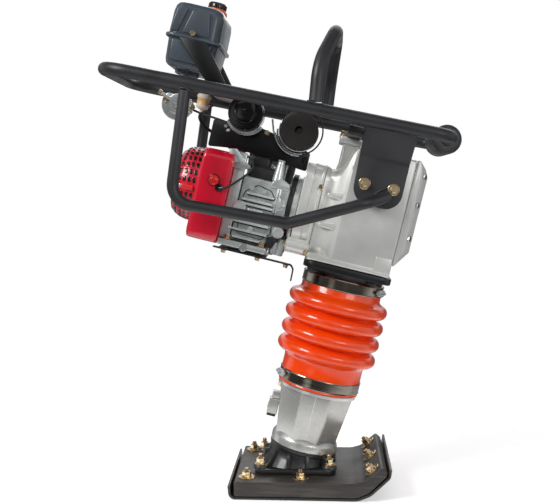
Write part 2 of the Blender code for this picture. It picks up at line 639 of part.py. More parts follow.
def tank():
    """Fuel tank with its ledge and sump, cap, bracket, cock, filter and hose."""
    body = box("fuel_tank", (TANK_BACK, -TANK_HALF, TANK_LOW), (TANK_FRONT, TANK_HALF, TANK_TOP), "slate",
               bevel=12 * MM)
    ledge = box("tank_ledge", (TANK_BACK - 3 * MM, -TANK_HALF - 3 * MM, TANK_LEDGE - 3 * MM),
                (TANK_FRONT + 3 * MM, TANK_HALF + 3 * MM, TANK_LEDGE + 3 * MM), "slate", bevel=2 * MM)
    join(body, ledge, rod("tank_sump", (COCK_U, 0, 817 * MM), 20 * MM, 27 * MM, "slate"),
         rod("tank_neck", (CAP_U, 0, TANK_TOP - 5 * MM), 12 * MM, 16 * MM, "slate"))
    turned("fuel_cap", [(0, 986 * MM), (17 * MM, 986 * MM), (20 * MM, 983 * MM), (20 * MM, 973 * MM),
                        (24 * MM, 971 * MM), (24 * MM, TANK_TOP + GAP), (17 * MM, TANK_TOP + GAP),
                        (17 * MM, 966 * MM), (0, 966 * MM)], "cap_orange", at=(CAP_U, 0, 0), closed=False)
    strap = [(-455 * MM, 884 * MM), (-398 * MM, 884 * MM), (-332 * MM, 803 * MM), (-376 * MM, 791 * MM),
             (-376 * MM, 803 * MM)]
    bracket = box("tank_bracket", (-372 * MM, -154 * MM, 791 * MM), (-325 * MM, 154 * MM, 795 * MM),
                  "black_steel")
    for side in (-1, 1):
        plate = flat("tank_strap", strap, 2 * MM, "black_steel", offset=side * 99.5 * MM)
        join(bracket, plate)
    shelf = box("tank_shelf", (-376 * MM, -100 * MM, 791 * MM), (-371 * MM, 100 * MM, 803 * MM),
                "black_steel")
    join(bracket, shelf)
    box("fuel_cock", (-449 * MM, -9 * MM, 803 * MM), (-433 * MM, 9 * MM, 817 * MM - GAP), "milky",
        bevel=1.5 * MM)
    lever = rod("fuel_cock_lever", (COCK_U, -9 * MM - GAP, COCK_W), 5 * MM, 5 * MM, "black_plastic",
                axis="-Y", sides=16)
    join(lever, box("cock_blade", (COCK_U - 2 * MM, -14 * MM, COCK_W - 19 * MM),
                    (COCK_U + 2 * MM, -11 * MM, COCK_W), "black_plastic"))
    turned("fuel_filter", [(0, 793 * MM), (9 * MM, 793 * MM), (15 * MM, 786 * MM), (15 * MM, 761 * MM),
                           (11 * MM, 751 * MM), (0, 749 * MM)], "milky", at=(-389 * MM, -20 * MM, 0),
           closed=False, steps=20)
    hose = [(-389 * MM, -20 * MM, 748 * MM), (-389 * MM, -18 * MM, 735 * MM), (-378 * MM, 2 * MM, 722 * MM),
            (-352 * MM, 20 * MM, 710 * MM), (-320 * MM, 22 * MM, 706 * MM)]
    tube("fuel_hose", fillet(hose, 14 * MM, steps=3), 3.5 * MM, "rubber", sides=1)


def throttle():
    """Throttle housing inside the left rail, its lever and the cable to the carburettor."""
    steps = 12
    outline = []
    for step in range(steps + 1):
        angle = math.radians(-217 + 254 * step / steps)
        outline.append((THROTTLE_U + THROTTLE_RADIUS * math.cos(angle),
                        THROTTLE_W - 2 * MM + THROTTLE_RADIUS * math.sin(angle)))
    flat("throttle_housing", outline, 11 * MM, "casting", offset=131 * MM)
    lever = rod("throttle_lever", (THROTTLE_U, 120 * MM - GAP, THROTTLE_W), 6 * MM, 9 * MM, "steel",
                axis="-Y", sides=16)
    arm = [(-474 * MM, 757 * MM), (-466 * MM, 770 * MM), (-512 * MM, 785 * MM), (-519 * MM, 783 * MM),
           (-518 * MM, 775 * MM)]
    join(lever, flat("throttle_arm_bar", arm, 2.5 * MM, "steel", offset=116.5 * MM))
    cable = [(-432 * MM, 131 * MM, 756 * MM), (-405 * MM, 130 * MM, 752 * MM), (-350 * MM, 96 * MM, 746 * MM),
             (-312 * MM, 66 * MM, 738 * MM), (-303 * MM, 58 * MM, 722 * MM)]
    tube("throttle_cable", fillet(cable, 22 * MM, steps=3), 2.5 * MM, "rubber", sides=1)


# ---------------------------------------------------------------- engine

def engine():
    """Engine castings, covers, starter, shaft and carburettor."""
    block = box("engine_block", (BLOCK_BACK, -80 * MM, BLOCK_LOW + 8 * MM), (BLOCK_FRONT, 70 * MM, BLOCK_TOP),
                "casting", bevel=7 * MM)
    join(block,
         box("block_base", (BLOCK_BACK, -88 * MM, BLOCK_LOW), (-170 * MM, 80 * MM, 496 * MM), "casting",
             bevel=2 * MM),
         rod("block_output", (BLOCK_FRONT - 4 * MM, 0, ENGINE_W), 26 * MM, 70 * MM, "casting", axis="U",
             sides=28),
         rod("block_boss", (-190 * MM, -62 * MM, 630 * MM), 56 * MM, 10 * MM, "casting", top=7 * MM,
             sides=16))
    cut(block, rod("block_bore", (-300 * MM, 0, ENGINE_W), 200 * MM, 16 * MM, "casting", axis="U"))
    fins = []
    for index in range(5):
        high = 78 * MM - FIN_PITCH * index
        fins += [(FIN_RADIUS, high), (FIN_RADIUS, high - 6 * MM),
                 (BARREL_RADIUS, high - 6 * MM), (BARREL_RADIUS, high - FIN_PITCH)]
    profile = [(0, 92 * MM), (30 * MM, 92 * MM), (30 * MM, 78 * MM)] + fins[:-1] + [(0, 12 * MM)]
    head = turned("cylinder_head", profile, "casting", at=(-225 * MM, 28 * MM, BLOCK_TOP + 2 * MM),
                  closed=False)
    head.rotation_euler = (-HEAD_TILT, 0, 0)
    cut(head, box("head_trim", (-300 * MM, -100 * MM, 560 * MM), (-150 * MM, 150 * MM, BLOCK_TOP + GAP),
                  "casting"))
    box("muffler", (-272 * MM, 114 * MM, 590 * MM), (-166 * MM, 150 * MM, 700 * MM), "cast_iron",
        bevel=8 * MM)
    shroud_line = fillet([(-100 * MM, SHROUD_LOW, 0), (92 * MM, SHROUD_LOW, 0), (92 * MM, SHROUD_TOP, 0),
                          (-100 * MM, SHROUD_TOP, 0)], 34 * MM, closed=True, steps=4)
    shroud = flat("engine_shroud", shroud_line, (BLOCK_BACK - GAP - SHROUD_BACK) / 2, "red", plane="YW",
                  offset=(BLOCK_BACK - GAP + SHROUD_BACK) / 2)
    round_edges(shroud, 4 * MM)
    cut(shroud, rod("shroud_hollow", (-360 * MM, 0, ENGINE_W), 90 * MM, 80 * MM, "red", axis="U", sides=24))
    wall = 3 * MM
    join_u = SHROUD_BACK - GAP
    shell = [(STARTER_RADIUS, join_u), (STARTER_RADIUS, -372 * MM), (75 * MM, -394 * MM),
             (62 * MM, STARTER_BACK), (0, STARTER_BACK), (0, STARTER_BACK + wall),
             (61 * MM, STARTER_BACK + wall), (72.5 * MM, -392 * MM),
             (STARTER_RADIUS - wall, -371 * MM), (STARTER_RADIUS - wall, join_u)]
    starter = turned("starter_cover", shell, "red", at=(0, 0, ENGINE_W), axis="U")
    join(starter, rod("starter_post", (STARTER_BACK + 2 * MM, 0, ENGINE_W), 34 * MM, 7 * MM, "red",
                      axis="U", sides=16))
    groove = [(36 * MM, -368 * MM), (36 * MM, -371 * MM), (28 * MM, -374 * MM), (36 * MM, -377 * MM),
              (36 * MM, -380 * MM), (8 * MM, -380 * MM), (8 * MM, -368 * MM)]
    turned("starter_pulley", groove, "black_plastic", at=(0, 0, ENGINE_W), axis="U")
    grip = rod("starter_grip", (GRIP_U, 106 * MM, GRIP_W - 30 * MM), 60 * MM, 8 * MM, "black_plastic",
               sides=16)
    join(grip, rod("grip_stem", (GRIP_U, 88 * MM, GRIP_W), 18 * MM, 5 * MM, "black_plastic", axis="Y",
                   sides=16))
    rod("engine_shaft", (-352 * MM, 0, ENGINE_W), 236 * MM, 10 * MM, "steel", axis="U")
    turned("flywheel", [(FLYWHEEL_RADIUS, -322 * MM), (FLYWHEEL_RADIUS, -340 * MM), (10.4 * MM, -340 * MM),
                        (10.4 * MM, -310 * MM), (24 * MM, -310 * MM), (24 * MM, -322 * MM)], "cast_iron",
           at=(0, 0, ENGINE_W), axis="U")
    shoes = ring("clutch_shoes", -131 * MM, -117 * MM, 10.4 * MM, 42.5 * MM, "cast_iron",
                 at=(0, 0, ENGINE_W), axis="U")
    for low, high in ((ENGINE_W + 18 * MM, ENGINE_W + 60 * MM), (ENGINE_W - 60 * MM, ENGINE_W - 18 * MM)):
        cut(shoes, box("shoe_gap", (-140 * MM, -3 * MM, low), (-100 * MM, 3 * MM, high), "cast_iron"))
    rod("engine_switch", (-317.5 * MM, -100 * MM - GAP, 613.4 * MM), 12 * MM, 11.2 * MM, "red",
        axis="-Y", sides=20)
    base = ribbon([(-290 * MM, 476 * MM), (-119 * MM, 476 * MM), (-114 * MM, 472 * MM),
                   (-112 * MM, 443 * MM)], 3 * MM)
    flat("engine_base_bracket", base, 84 * MM, "black_steel", offset=-4 * MM)
    lead = [(-301 * MM, -106 * MM, 597 * MM), (-284 * MM, -108 * MM, 607 * MM),
            (-250 * MM, -100 * MM, 645 * MM), (-247 * MM, -90 * MM, 668 * MM), (-274 * MM, -66 * MM, 684 * MM)]
    tube("switch_lead", fillet(lead, 14 * MM, steps=3), 2.3 * MM, "rubber", sides=1)


def intake():
    """Support plate with the pre-cleaner canister, air filter and carburettor."""
    plate_line = fillet([(-359 * MM, 681 * MM, 0), (-310 * MM, 688 * MM, 0), (-261 * MM, 687 * MM, 0),
                         (-136.5 * MM, 676 * MM, 0), (-136.5 * MM, 716 * MM, 0),
                         (-250 * MM, 745 * MM, 0), (-359 * MM, 742 * MM, 0)], 5 * MM, closed=True, steps=2)
    plate = flat("support_plate", plate_line, 1.5 * MM, "black_steel", offset=-12 * MM)
    for name, u, w, radius in (("plate_notch_a", PRE_CLEANER_U, PRE_CLEANER_W, 40 * MM),
                               ("plate_notch_b", FILTER_U, FILTER_W, 49 * MM)):
        cut(plate, rod(name, (u, -40 * MM, w), 60 * MM, radius, "black_steel", axis="Y", sides=24))
    turned("pre_cleaner", [(0, 100 * MM), (22 * MM, 100 * MM), (24 * MM, 96 * MM), (29 * MM, 96 * MM),
                           (31 * MM, 92 * MM), (36.8 * MM, 90 * MM), (36.8 * MM, 15 * MM), (0, 15 * MM)],
           "black_plastic", at=(PRE_CLEANER_U, 0, PRE_CLEANER_W), axis="-Y", closed=False)
    turned("air_filter", [(7 * MM, 100 * MM), (38 * MM, 100 * MM), (40.8 * MM, 97 * MM), (40.8 * MM, 8 * MM),
                          (7 * MM, 8 * MM)], "filter_foam", at=(FILTER_U, 0, FILTER_W), axis="-Y")
    box("carburettor", (-319 * MM, 4 * MM, 686 * MM), (-277 * MM, 46 * MM, 726 * MM), "casting", bevel=3 * MM)
    arm = rod("throttle_arm", (ARM_U, 46 * MM + GAP, ARM_W), 5 * MM, 5 * MM, "steel", axis="Y", sides=16)
    join(arm, box("throttle_arm_tab", (ARM_U - 2.5 * MM, 48 * MM, ARM_W),
                  (ARM_U + 2.5 * MM, 51 * MM, ARM_W + 16 * MM), "steel"))
    choke = rod("choke_lever", (CHOKE_U, 46 * MM + GAP, CHOKE_W), 5 * MM, 4 * MM, "steel", axis="Y",
                sides=16)
    join(choke, box("choke_tab", (CHOKE_U - 2 * MM, 48 * MM, CHOKE_W - 20 * MM),
                    (CHOKE_U + 2 * MM, 51 * MM, CHOKE_W), "steel"))


shoe()
foot_casting()
leg()
bellows()
ram_drive()
crankcase()
handle()
tank()
throttle()
engine()
intake()
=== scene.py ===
"""Looks of the jumping jack rammer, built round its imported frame.

Lengths are in millimetres. Unless a name says otherwise a point is (u, y, w) in the ram frame: u points
forward and down, y to the operator's left and w up the leaning ram axis. The shoe and its bolts are drawn in
the world frame, whose x points to the toe and z up.
"""
from __future__ import annotations

import logging
import math
from dataclasses import dataclass, field
from enum import Enum
from typing import Iterable, Sequence

import bmesh
import bpy
from mathutils import Matrix, Vector

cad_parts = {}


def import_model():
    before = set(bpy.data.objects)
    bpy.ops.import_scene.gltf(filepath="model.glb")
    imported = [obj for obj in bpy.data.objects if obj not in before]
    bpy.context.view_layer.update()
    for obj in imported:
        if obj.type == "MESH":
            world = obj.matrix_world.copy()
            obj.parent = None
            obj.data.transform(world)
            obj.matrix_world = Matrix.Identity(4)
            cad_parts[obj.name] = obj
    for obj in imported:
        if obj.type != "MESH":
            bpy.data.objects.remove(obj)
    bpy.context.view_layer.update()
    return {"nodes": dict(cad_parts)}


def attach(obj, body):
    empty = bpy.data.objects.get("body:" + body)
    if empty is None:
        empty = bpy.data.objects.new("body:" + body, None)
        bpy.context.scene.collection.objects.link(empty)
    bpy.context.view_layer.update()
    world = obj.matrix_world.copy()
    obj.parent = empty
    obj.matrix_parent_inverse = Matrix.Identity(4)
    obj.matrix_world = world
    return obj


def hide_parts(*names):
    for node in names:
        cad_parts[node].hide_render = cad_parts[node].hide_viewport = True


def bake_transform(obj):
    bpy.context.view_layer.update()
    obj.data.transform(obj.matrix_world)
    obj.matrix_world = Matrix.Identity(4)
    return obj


Point = Sequence[float]
log = logging.getLogger("rammer_looks")

MM = 0.001
LEAN = math.radians(13.5)
WORLD = Matrix.Scale(MM, 4)
RAM = Matrix.Rotation(LEAN, 4, "Y") @ WORLD


class Way(Enum):
    """Directions that bars, bolts and turned pieces point in."""

    FRONT = (1, 0, 0)
    BACK = (-1, 0, 0)
    LEFT = (0, 1, 0)
    RIGHT = (0, -1, 0)
    UP = (0, 0, 1)
    DOWN = (0, 0, -1)


class Across(Enum):
    """The axis that a flat outline is drawn out along."""

    U = 0
    Y = 1
    W = 2


# ------------------------------------------------------------------ finishes

def linear(colour: str) -> tuple[float, float, float, float]:
    """Turn an sRGB hex colour into linear RGBA.

    Args:
        colour: six hex digits after a hash.

    Returns:
        The linear colour with full alpha.
    """
    parts = [int(colour[start:start + 2], 16) / 255 for start in (1, 3, 5)]
    return (*(part / 12.92 if part <= 0.04045 else ((part + 0.055) / 1.055) ** 2.4 for part in parts), 1.0)


def add_node(tree: bpy.types.NodeTree, kind: str, inputs: dict | None = None, **settings) -> bpy.types.Node:
    """Add a node with its settings and links.

    Args:
        tree: the node tree that takes the node.
        kind: the node's type name, without the leading ShaderNode.
        inputs: input name or index to a value or to the output socket that feeds it. A colour Mix has its
            share at 0 and its colours at 6 and 7, and gives its result at output 2.
        settings: attributes set on the node first.

    Returns:
        The node.
    """
    node = tree.nodes.new("ShaderNode" + kind)
    for name, value in settings.items():
        setattr(node, name, value)
    for key, value in (inputs or {}).items():
        if isinstance(value, bpy.types.NodeSocket):
            tree.links.new(value, node.inputs[key])
        else:
            node.inputs[key].default_value = value
    return node


@dataclass(frozen=True)
class Finish:
    """A surface: its two close colours, its gloss and its grain, with its edges lightened, partly as wear and
    partly as a painted highlight, and painted shade in its creases.

    Attributes:
        name: the material's name.
        colour: sRGB hex of the clean surface.
        cloud: sRGB hex that the colour drifts to in soft patches.
        rough: mean roughness.
        patch: width of the soft patches.
        grain: width of the surface's grain.
        depth: height of the grain.
        edge: sRGB hex of edges, lightened partly by wear and partly as a painted highlight, if they differ.
        crease_shade: sRGB hex of the painted shade in creases, if any.
        metallic: how metallic the shader is.
        ior: index of refraction of a surface that isn't metal.
        coat: weight of a clear top layer.
        stretch: how much longer the grain is along each axis, for brushed or laid grain.
        leaning: 1 when the grain lies along the leaning ram axis, 0 when it lies level.
    """

    name: str
    colour: str
    cloud: str
    rough: float
    patch: float = 60.0
    grain: float = 2.5
    depth: float = 0.05
    edge: str = ""
    crease_shade: str = ""
    metallic: float = 0.0
    ior: float = 1.5
    coat: float = 0.0
    stretch: tuple[float, float, float] = (1.0, 1.0, 1.0)
    leaning: int = 1

    def material(self) -> bpy.types.Material:
        """Return the finish's material, made on the first call."""
        known = bpy.data.materials.get(self.name)
        if known:
            return known
        made = bpy.data.materials.new(self.name)
        made.use_nodes = True
        tree = made.node_tree
        shader = tree.nodes["Principled BSDF"]
        shader.inputs["Metallic"].default_value = self.metallic
        shader.inputs["Coat Weight"].default_value = self.coat
        shader.inputs["Coat Roughness"].default_value = 0.08
        if self.metallic < 0.5:
            shader.inputs["IOR"].default_value = self.ior
        place = add_node(tree, "TexCoord").outputs["Object"]
        patches = add_node(tree, "TexNoise", {"Vector": place, "Scale": 1 / (self.patch * MM), "Detail": 3.0})
        colour = self.pattern(tree, place, patches.outputs["Fac"])
        tree.links.new(colour, shader.inputs["Base Color"])
        gloss = add_node(tree, "MapRange", {"Value": patches.outputs["Fac"], "From Min": 0.3, "From Max": 0.7,
                                            "To Min": self.rough * 0.85,
                                            "To Max": min(self.rough * 1.2, 1.0)})
        tree.links.new(gloss.outputs["Result"], shader.inputs["Roughness"])
        tree.links.new(self.relief(tree, place), shader.inputs["Normal"])
        return made

    def pattern(self, tree: bpy.types.NodeTree, place: bpy.types.NodeSocket,
                patches: bpy.types.NodeSocket) -> bpy.types.NodeSocket:
        """Mix the finish's colours over the surface, lighten its edges, partly as wear and partly as a
        painted highlight, and paint shade into its creases.

        Args:
            tree: the material's node tree.
            place: the point on the object, in metres.
            patches: soft noise from 0 to 1.

        Returns:
            The socket that gives the colour.
        """
        drift = add_node(tree, "MapRange", {"Value": patches, "From Min": 0.35, "From Max": 0.65})
        mixed = add_node(tree, "Mix", {0: drift.outputs["Result"], 6: linear(self.colour),
                                       7: linear(self.cloud)},
                         data_type="RGBA").outputs[2]
        if not (self.edge or self.crease_shade):
            return mixed
        # Pointiness lightens convex edges, partly as wear and partly as a painted highlight, and darkens
        # creases as painted shade.
        bend = add_node(tree, "NewGeometry").outputs["Pointiness"]
        for tone, start, end in ((self.edge, 0.53, 0.64), (self.crease_shade, 0.49, 0.42)):
            if tone:
                share = add_node(tree, "MapRange", {"Value": bend, "From Min": start, "From Max": end})
                mixed = add_node(tree, "Mix", {0: share.outputs["Result"], 6: mixed, 7: linear(tone)},
                                 data_type="RGBA").outputs[2]
        return mixed

    def relief(self, tree: bpy.types.NodeTree, place: bpy.types.NodeSocket) -> bpy.types.NodeSocket:
        """Raise the finish's grain as a bump.

        Args:
            tree: the material's node tree.
            place: the point on the object, in metres.

        Returns:
            The socket that gives the normal.
        """
        laid = add_node(tree, "Mapping", {"Vector": place, "Rotation": (0, LEAN * self.leaning, 0),
                                          "Scale": self.stretch}, vector_type="TEXTURE")
        grain = add_node(tree, "TexNoise", {"Vector": laid.outputs["Vector"], "Scale": 1 / (self.grain * MM),
                                            "Detail": 2.0})
        return add_node(tree, "Bump", {"Height": grain.outputs["Fac"], "Distance": self.depth * MM,
                                       "Strength": 1.0}).outputs["Normal"]


@dataclass(frozen=True)
class Streaked(Finish):
    """A finish whose colour also runs in long streaks, as laminated board or rolled metal does.

    Attributes:
        streak: sRGB hex of the streaks.
        streak_width: width of a streak.
        streak_amount: how strongly the streaks show, from 0 to 1.
    """

    streak: str = "#000000"
    streak_width: float = 6.0
    streak_amount: float = 0.5

    def pattern(self, tree: bpy.types.NodeTree, place: bpy.types.NodeSocket,
                patches: bpy.types.NodeSocket) -> bpy.types.NodeSocket:
        """Lay the streaks over the plain finish's colours.

        Args:
            tree: the material's node tree.
            place: the point on the object, in metres.
            patches: soft noise from 0 to 1.

        Returns:
            The socket that gives the colour.
        """
        under = super().pattern(tree, place, patches)
        laid = add_node(tree, "Mapping", {"Vector": place, "Rotation": (0, LEAN * self.leaning, 0),
                                          "Scale": self.stretch}, vector_type="TEXTURE")
        lines = add_node(tree, "TexNoise", {"Vector": laid.outputs["Vector"],
                                            "Scale": 1 / (self.streak_width * MM), "Detail": 3.0})
        share = add_node(tree, "MapRange", {"Value": lines.outputs["Fac"], "From Min": 0.48, "From Max": 0.68,
                                            "To Max": self.streak_amount})
        return add_node(tree, "Mix", {0: share.outputs["Result"], 6: under, 7: linear(self.streak)},
                        data_type="RGBA").outputs[2]


# Each finish's edge colour below is partly wear and partly a painted highlight, and each crease colour is
# painted shade.
# Polyester powder coat on steel tube: a satin charcoal with fine orange peel, drawn 3 mm wide so that it
# shows.
POWDER_COAT = Finish("powder_coated_steel", "#262628", "#2c2c2e", 0.40, grain=3.0, depth=0.03, edge="#47474a")
# The same coat on flat plate, which lies smoother.
PLATE_COAT = Finish("powder_coated_plate", "#2b2b2e", "#313134", 0.46, grain=3.0, depth=0.02, edge="#55555a")
# Sand-cast aluminium under silver paint: pale, softly shining, with a fine sandy grain and shaded creases.
SAND_CAST = Finish("sand_cast_aluminium", "#e8e8e4", "#d8d8d3", 0.30, grain=2.2, depth=0.07, edge="#f6f6f2",
                   crease_shade="#45453f", metallic=0.35)
# Die-cast aluminium, bare: brighter and smoother than sand casting.
DIE_CAST = Finish("die_cast_aluminium", "#d3d8d6", "#b0b6b4", 0.25, patch=22, grain=1.8, depth=0.05,
                  edge="#fbfdfc", crease_shade="#0e0f0f", metallic=0.5)
# The leg's casting is painted a warmer, duller grey.
PAINTED_CAST = Finish("painted_cast_aluminium", "#c8c8c4", "#b6b6b1", 0.28, patch=90, grain=2.5, depth=0.04,
                      edge="#eeeeeb", crease_shade="#55554f", metallic=0.65)
# Cast polyurethane: even, glossy, saturated orange-red, with highlights drawn long by its rings.
POLYURETHANE = Finish("cast_polyurethane", "#ff4c06", "#fa4403", 0.18, grain=12, depth=0.04, ior=1.5,
                      coat=0.5)
# Rolled stainless band: streaks run round the band.
STAINLESS = Streaked("rolled_stainless", "#a59c90", "#8c8275", 0.13, grain=1.2, depth=0.02, metallic=1.0,
                     stretch=(30, 30, 1), streak="#4c453c", streak_width=2.0, streak_amount=0.5)
# Grey iron under thick gloss black paint: the sand grain still shows through it.
BLACK_CAST = Finish("gloss_painted_iron", "#0d0d0d", "#161615", 0.36, grain=3.2, depth=0.22, edge="#3a3a3a",
                    coat=0.3)
# Pressed board under dark stain: brownish, faintly streaked along the machine where it was bent.
BOARD = Streaked("stained_laminate", "#322f2c", "#2b2825", 0.46, patch=80, grain=1.6, depth=0.05,
                 edge="#5a5450",
                 stretch=(14, 1, 1), leaning=0, streak="#554d46", streak_width=5.0, streak_amount=0.5)
# Abrasion-resistant steel plate, thinly painted, rubbed bright along its edges, with a painted highlight
# there too.
WEAR_STEEL = Finish("abrasion_steel", "#211f1e", "#292725", 0.42, grain=2.5, depth=0.05, edge="#6e6963")
# Zinc plate with yellow passivation: brassy, drifting to pink and green.
YELLOW_ZINC = Finish("yellow_zinc_plate", "#c2a468", "#c39a83", 0.24, patch=9, grain=1.5, depth=0.02,
                     edge="#efe0b8", crease_shade="#3d2e18", metallic=1.0)
# Bright zinc plate on small steel fittings.
BRIGHT_ZINC = Finish("bright_zinc_plate", "#e4e6e7", "#c4c7c9", 0.26, patch=12, grain=1.5, depth=0.02,
                     crease_shade="#4a4d4f", metallic=0.8)
# Gloss enamel on pressed sheet: deep even red with soft ripples from pressing.
RED_ENAMEL = Finish("red_enamel", "#dc1030", "#cc0d2a", 0.24, patch=70, grain=22, depth=0.16, edge="#f0435a",
                    coat=0.5)
# Moulded ABS, glossy red.
RED_ABS = Finish("red_abs", "#e21a22", "#d8161e", 0.28, grain=1.5, depth=0.02, edge="#ff5a58")
# Moulded ABS, glossy black.
BLACK_ABS = Finish("black_abs", "#070708", "#0b0b0c", 0.14, grain=2.0, depth=0.015, edge="#2c2c2e", coat=0.3)
# Semi-gloss black paint on brackets and the flange; on the engine block the same black paints shade in its
# cavity and gap.
BLACK_PAINT_AND_SHADE = Finish("black_paint_and_painted_shade", "#0b0b0c", "#111113", 0.32, grain=2.5, depth=0.03,
                     edge="#2a2a2c")
# Matte brown-black moulding with a fine spark-eroded texture, drawn 1.6 mm wide.
TEXTURED_COVER = Finish("textured_polypropylene", "#1c1816", "#231f1c", 0.66, grain=1.6, depth=0.05,
                        edge="#3a3530")
# Black nitrile rubber: matte, faintly dusty.
BLACK_RUBBER = Finish("nitrile_rubber", "#1d1d1f", "#262628", 0.62, grain=1.5, depth=0.03)
# Braided nylon rope, off-white under workshop dirt.
BRAIDED_ROPE = Finish("braided_nylon", "#8d8779", "#6f695d", 0.7, patch=6, grain=1.2, depth=0.12)
# The roller's rubber sleeve is greyer, with its rims caught by the light.
ROLLER_RUBBER = Finish("roller_rubber", "#262629", "#202022", 0.52, grain=2.0, depth=0.04, edge="#6f6f73")
# Rotationally moulded polyethylene: slate grey, waxy, slightly uneven.
POLYETHYLENE = Finish("moulded_polyethylene", "#414952", "#3a424b", 0.26, patch=45, grain=16, depth=0.10,
                      edge="#69727b")
# Faded orange nylon of the tank's cap.
ORANGE_NYLON = Finish("orange_nylon", "#e8703a", "#dc6430", 0.38, grain=1.5, depth=0.03, edge="#f79a6c")
# Painted shade in the gaps and shadowed corners of the engine's castings and under their ribs, where some
# oily dust also lies.
PAINTED_SHADE_AND_GRIME = Finish("painted_shade_and_grime", "#1b1c1b", "#2a2b29", 0.55, patch=14, grain=1.6, depth=0.05)
# Milky nylon of the fuel filter's bowl and the cock.
MILKY_NYLON = Finish("milky_nylon", "#efe6d6", "#e3d6bf", 0.28, patch=20, grain=4, depth=0.03, ior=1.53)
# The paper element glows amber through the bowl.
AMBER_PAPER = Finish("amber_filter_paper", "#e6c08e", "#d7a76c", 0.45, patch=8, grain=2.0, depth=0.05)
# Bare grey iron of the muffler, flywheel and clutch.
GREY_IRON = Finish("grey_iron", "#45423f", "#544f4a", 0.50, patch=30, grain=2.5, depth=0.12, edge="#77726c",
                   metallic=0.6)
# Ground and oiled steel of the ram drive.
OILED_STEEL = Finish("oiled_steel", "#8f8f8c", "#7a7a77", 0.26, patch=30, grain=1.2, depth=0.02,
                     edge="#c4c4c0", metallic=1.0)


# ------------------------------------------------------------------ mesh work

def rounded(points: Iterable[Point], radii: float | Sequence[float], closed: bool = False,
            steps: int = 8) -> list[Vector]:
    """Round the corners of a path.

    Args:
        points: the path's corners, flat or in space.
        radii: one radius for every corner, or one for each; zero keeps a corner sharp.
        closed: whether the path returns to its start.
        steps: segments in each rounded corner.

    Returns:
        The path's points.
    """
    corners = [Vector(point).to_3d() for point in points]
    path: list[Vector] = []
    for index, corner in enumerate(corners):
        radius = radii[index] if isinstance(radii, (list, tuple)) else radii
        if radius <= 0 or (not closed and index in (0, len(corners) - 1)):
            path.append(corner)
            continue
        back = (corners[index - 1] - corner).normalized()
        ahead = (corners[(index + 1) % len(corners)] - corner).normalized()
        half = back.angle(ahead) / 2
        centre = corner + (back + ahead).normalized() * radius / math.sin(half)
        start = (corner + back * radius / math.tan(half) - centre).normalized()
        end = (corner + ahead * radius / math.tan(half) - centre).normalized()
        path += [centre + start.slerp(end, step / steps) * radius for step in range(steps + 1)]
    return path


def oblong(low: Point, high: Point, corner: float, steps: int = 7) -> list[Vector]:
    """Return a rectangle with rounded corners, given two of its corners."""
    return rounded([low, (high[0], low[1]), high, (low[0], high[1])], corner, closed=True, steps=steps)


def span(side: int, inner: float, outer: float) -> list[float]:
    """Return the two places at their distances to one side, lowest first."""
    return sorted((side * inner, side * outer))


def ribbon(path: Sequence[Point], thick: float) -> list[tuple[float, float]]:
    """Outline a bent strip.

    Args:
        path: the strip's middle line, as flat points.
        thick: the strip's thickness.

    Returns:
        The closed outline.
    """
    flat = [Vector(point).to_2d() for point in path]
    left, right = [], []
    for index, point in enumerate(flat):
        along = (flat[min(index + 1, len(flat) - 1)] - flat[max(index - 1, 0)]).normalized()
        across = Vector((-along.y, along.x)) * thick / 2
        left.append(tuple(point + across))
        right.append(tuple(point - across))
    return left + right[::-1]


def ring_of(centre: Point, radius: float, count: int, turn: float = 0.0) -> list[tuple[float, float]]:
    """Return points evenly round a flat circle."""
    step = 2 * math.pi / count
    return [(centre[0] + radius * math.cos(turn + step * index),
             centre[1] + radius * math.sin(turn + step * index))
            for index in range(count)]


def smooth_line(points: Iterable[Point], count: int) -> list[Vector]:
    """Draw a smooth curve through points.

    Args:
        points: the points that the curve passes through.
        count: how many points the curve gets.

    Returns:
        Points evenly spaced along the curve.
    """
    knots = [Vector(point) for point in points]
    knots = [knots[0] * 2 - knots[1], *knots, knots[-1] * 2 - knots[-2]]
    fine: list[Vector] = []
    for a, b, c, d in zip(knots, knots[1:], knots[2:], knots[3:]):
        for step in range(24):
            t = step / 24
            fine.append(0.5 * (2 * b + (c - a) * t + (2 * a - 5 * b + 4 * c - d) * t ** 2
                               + (3 * b - a - 3 * c + d) * t ** 3))
    fine.append(knots[-2])
    reach = [0.0]
    for first, second in zip(fine, fine[1:]):
        reach.append(reach[-1] + (second - first).length)
    line, index = [], 0
    for step in range(count):
        want = reach[-1] * step / (count - 1)
        while index < len(fine) - 2 and reach[index + 1] < want:
            index += 1
        share = (want - reach[index]) / max(reach[index + 1] - reach[index], 1e-9)
        line.append(fine[index].lerp(fine[index + 1], min(share, 1.0)))
    return line


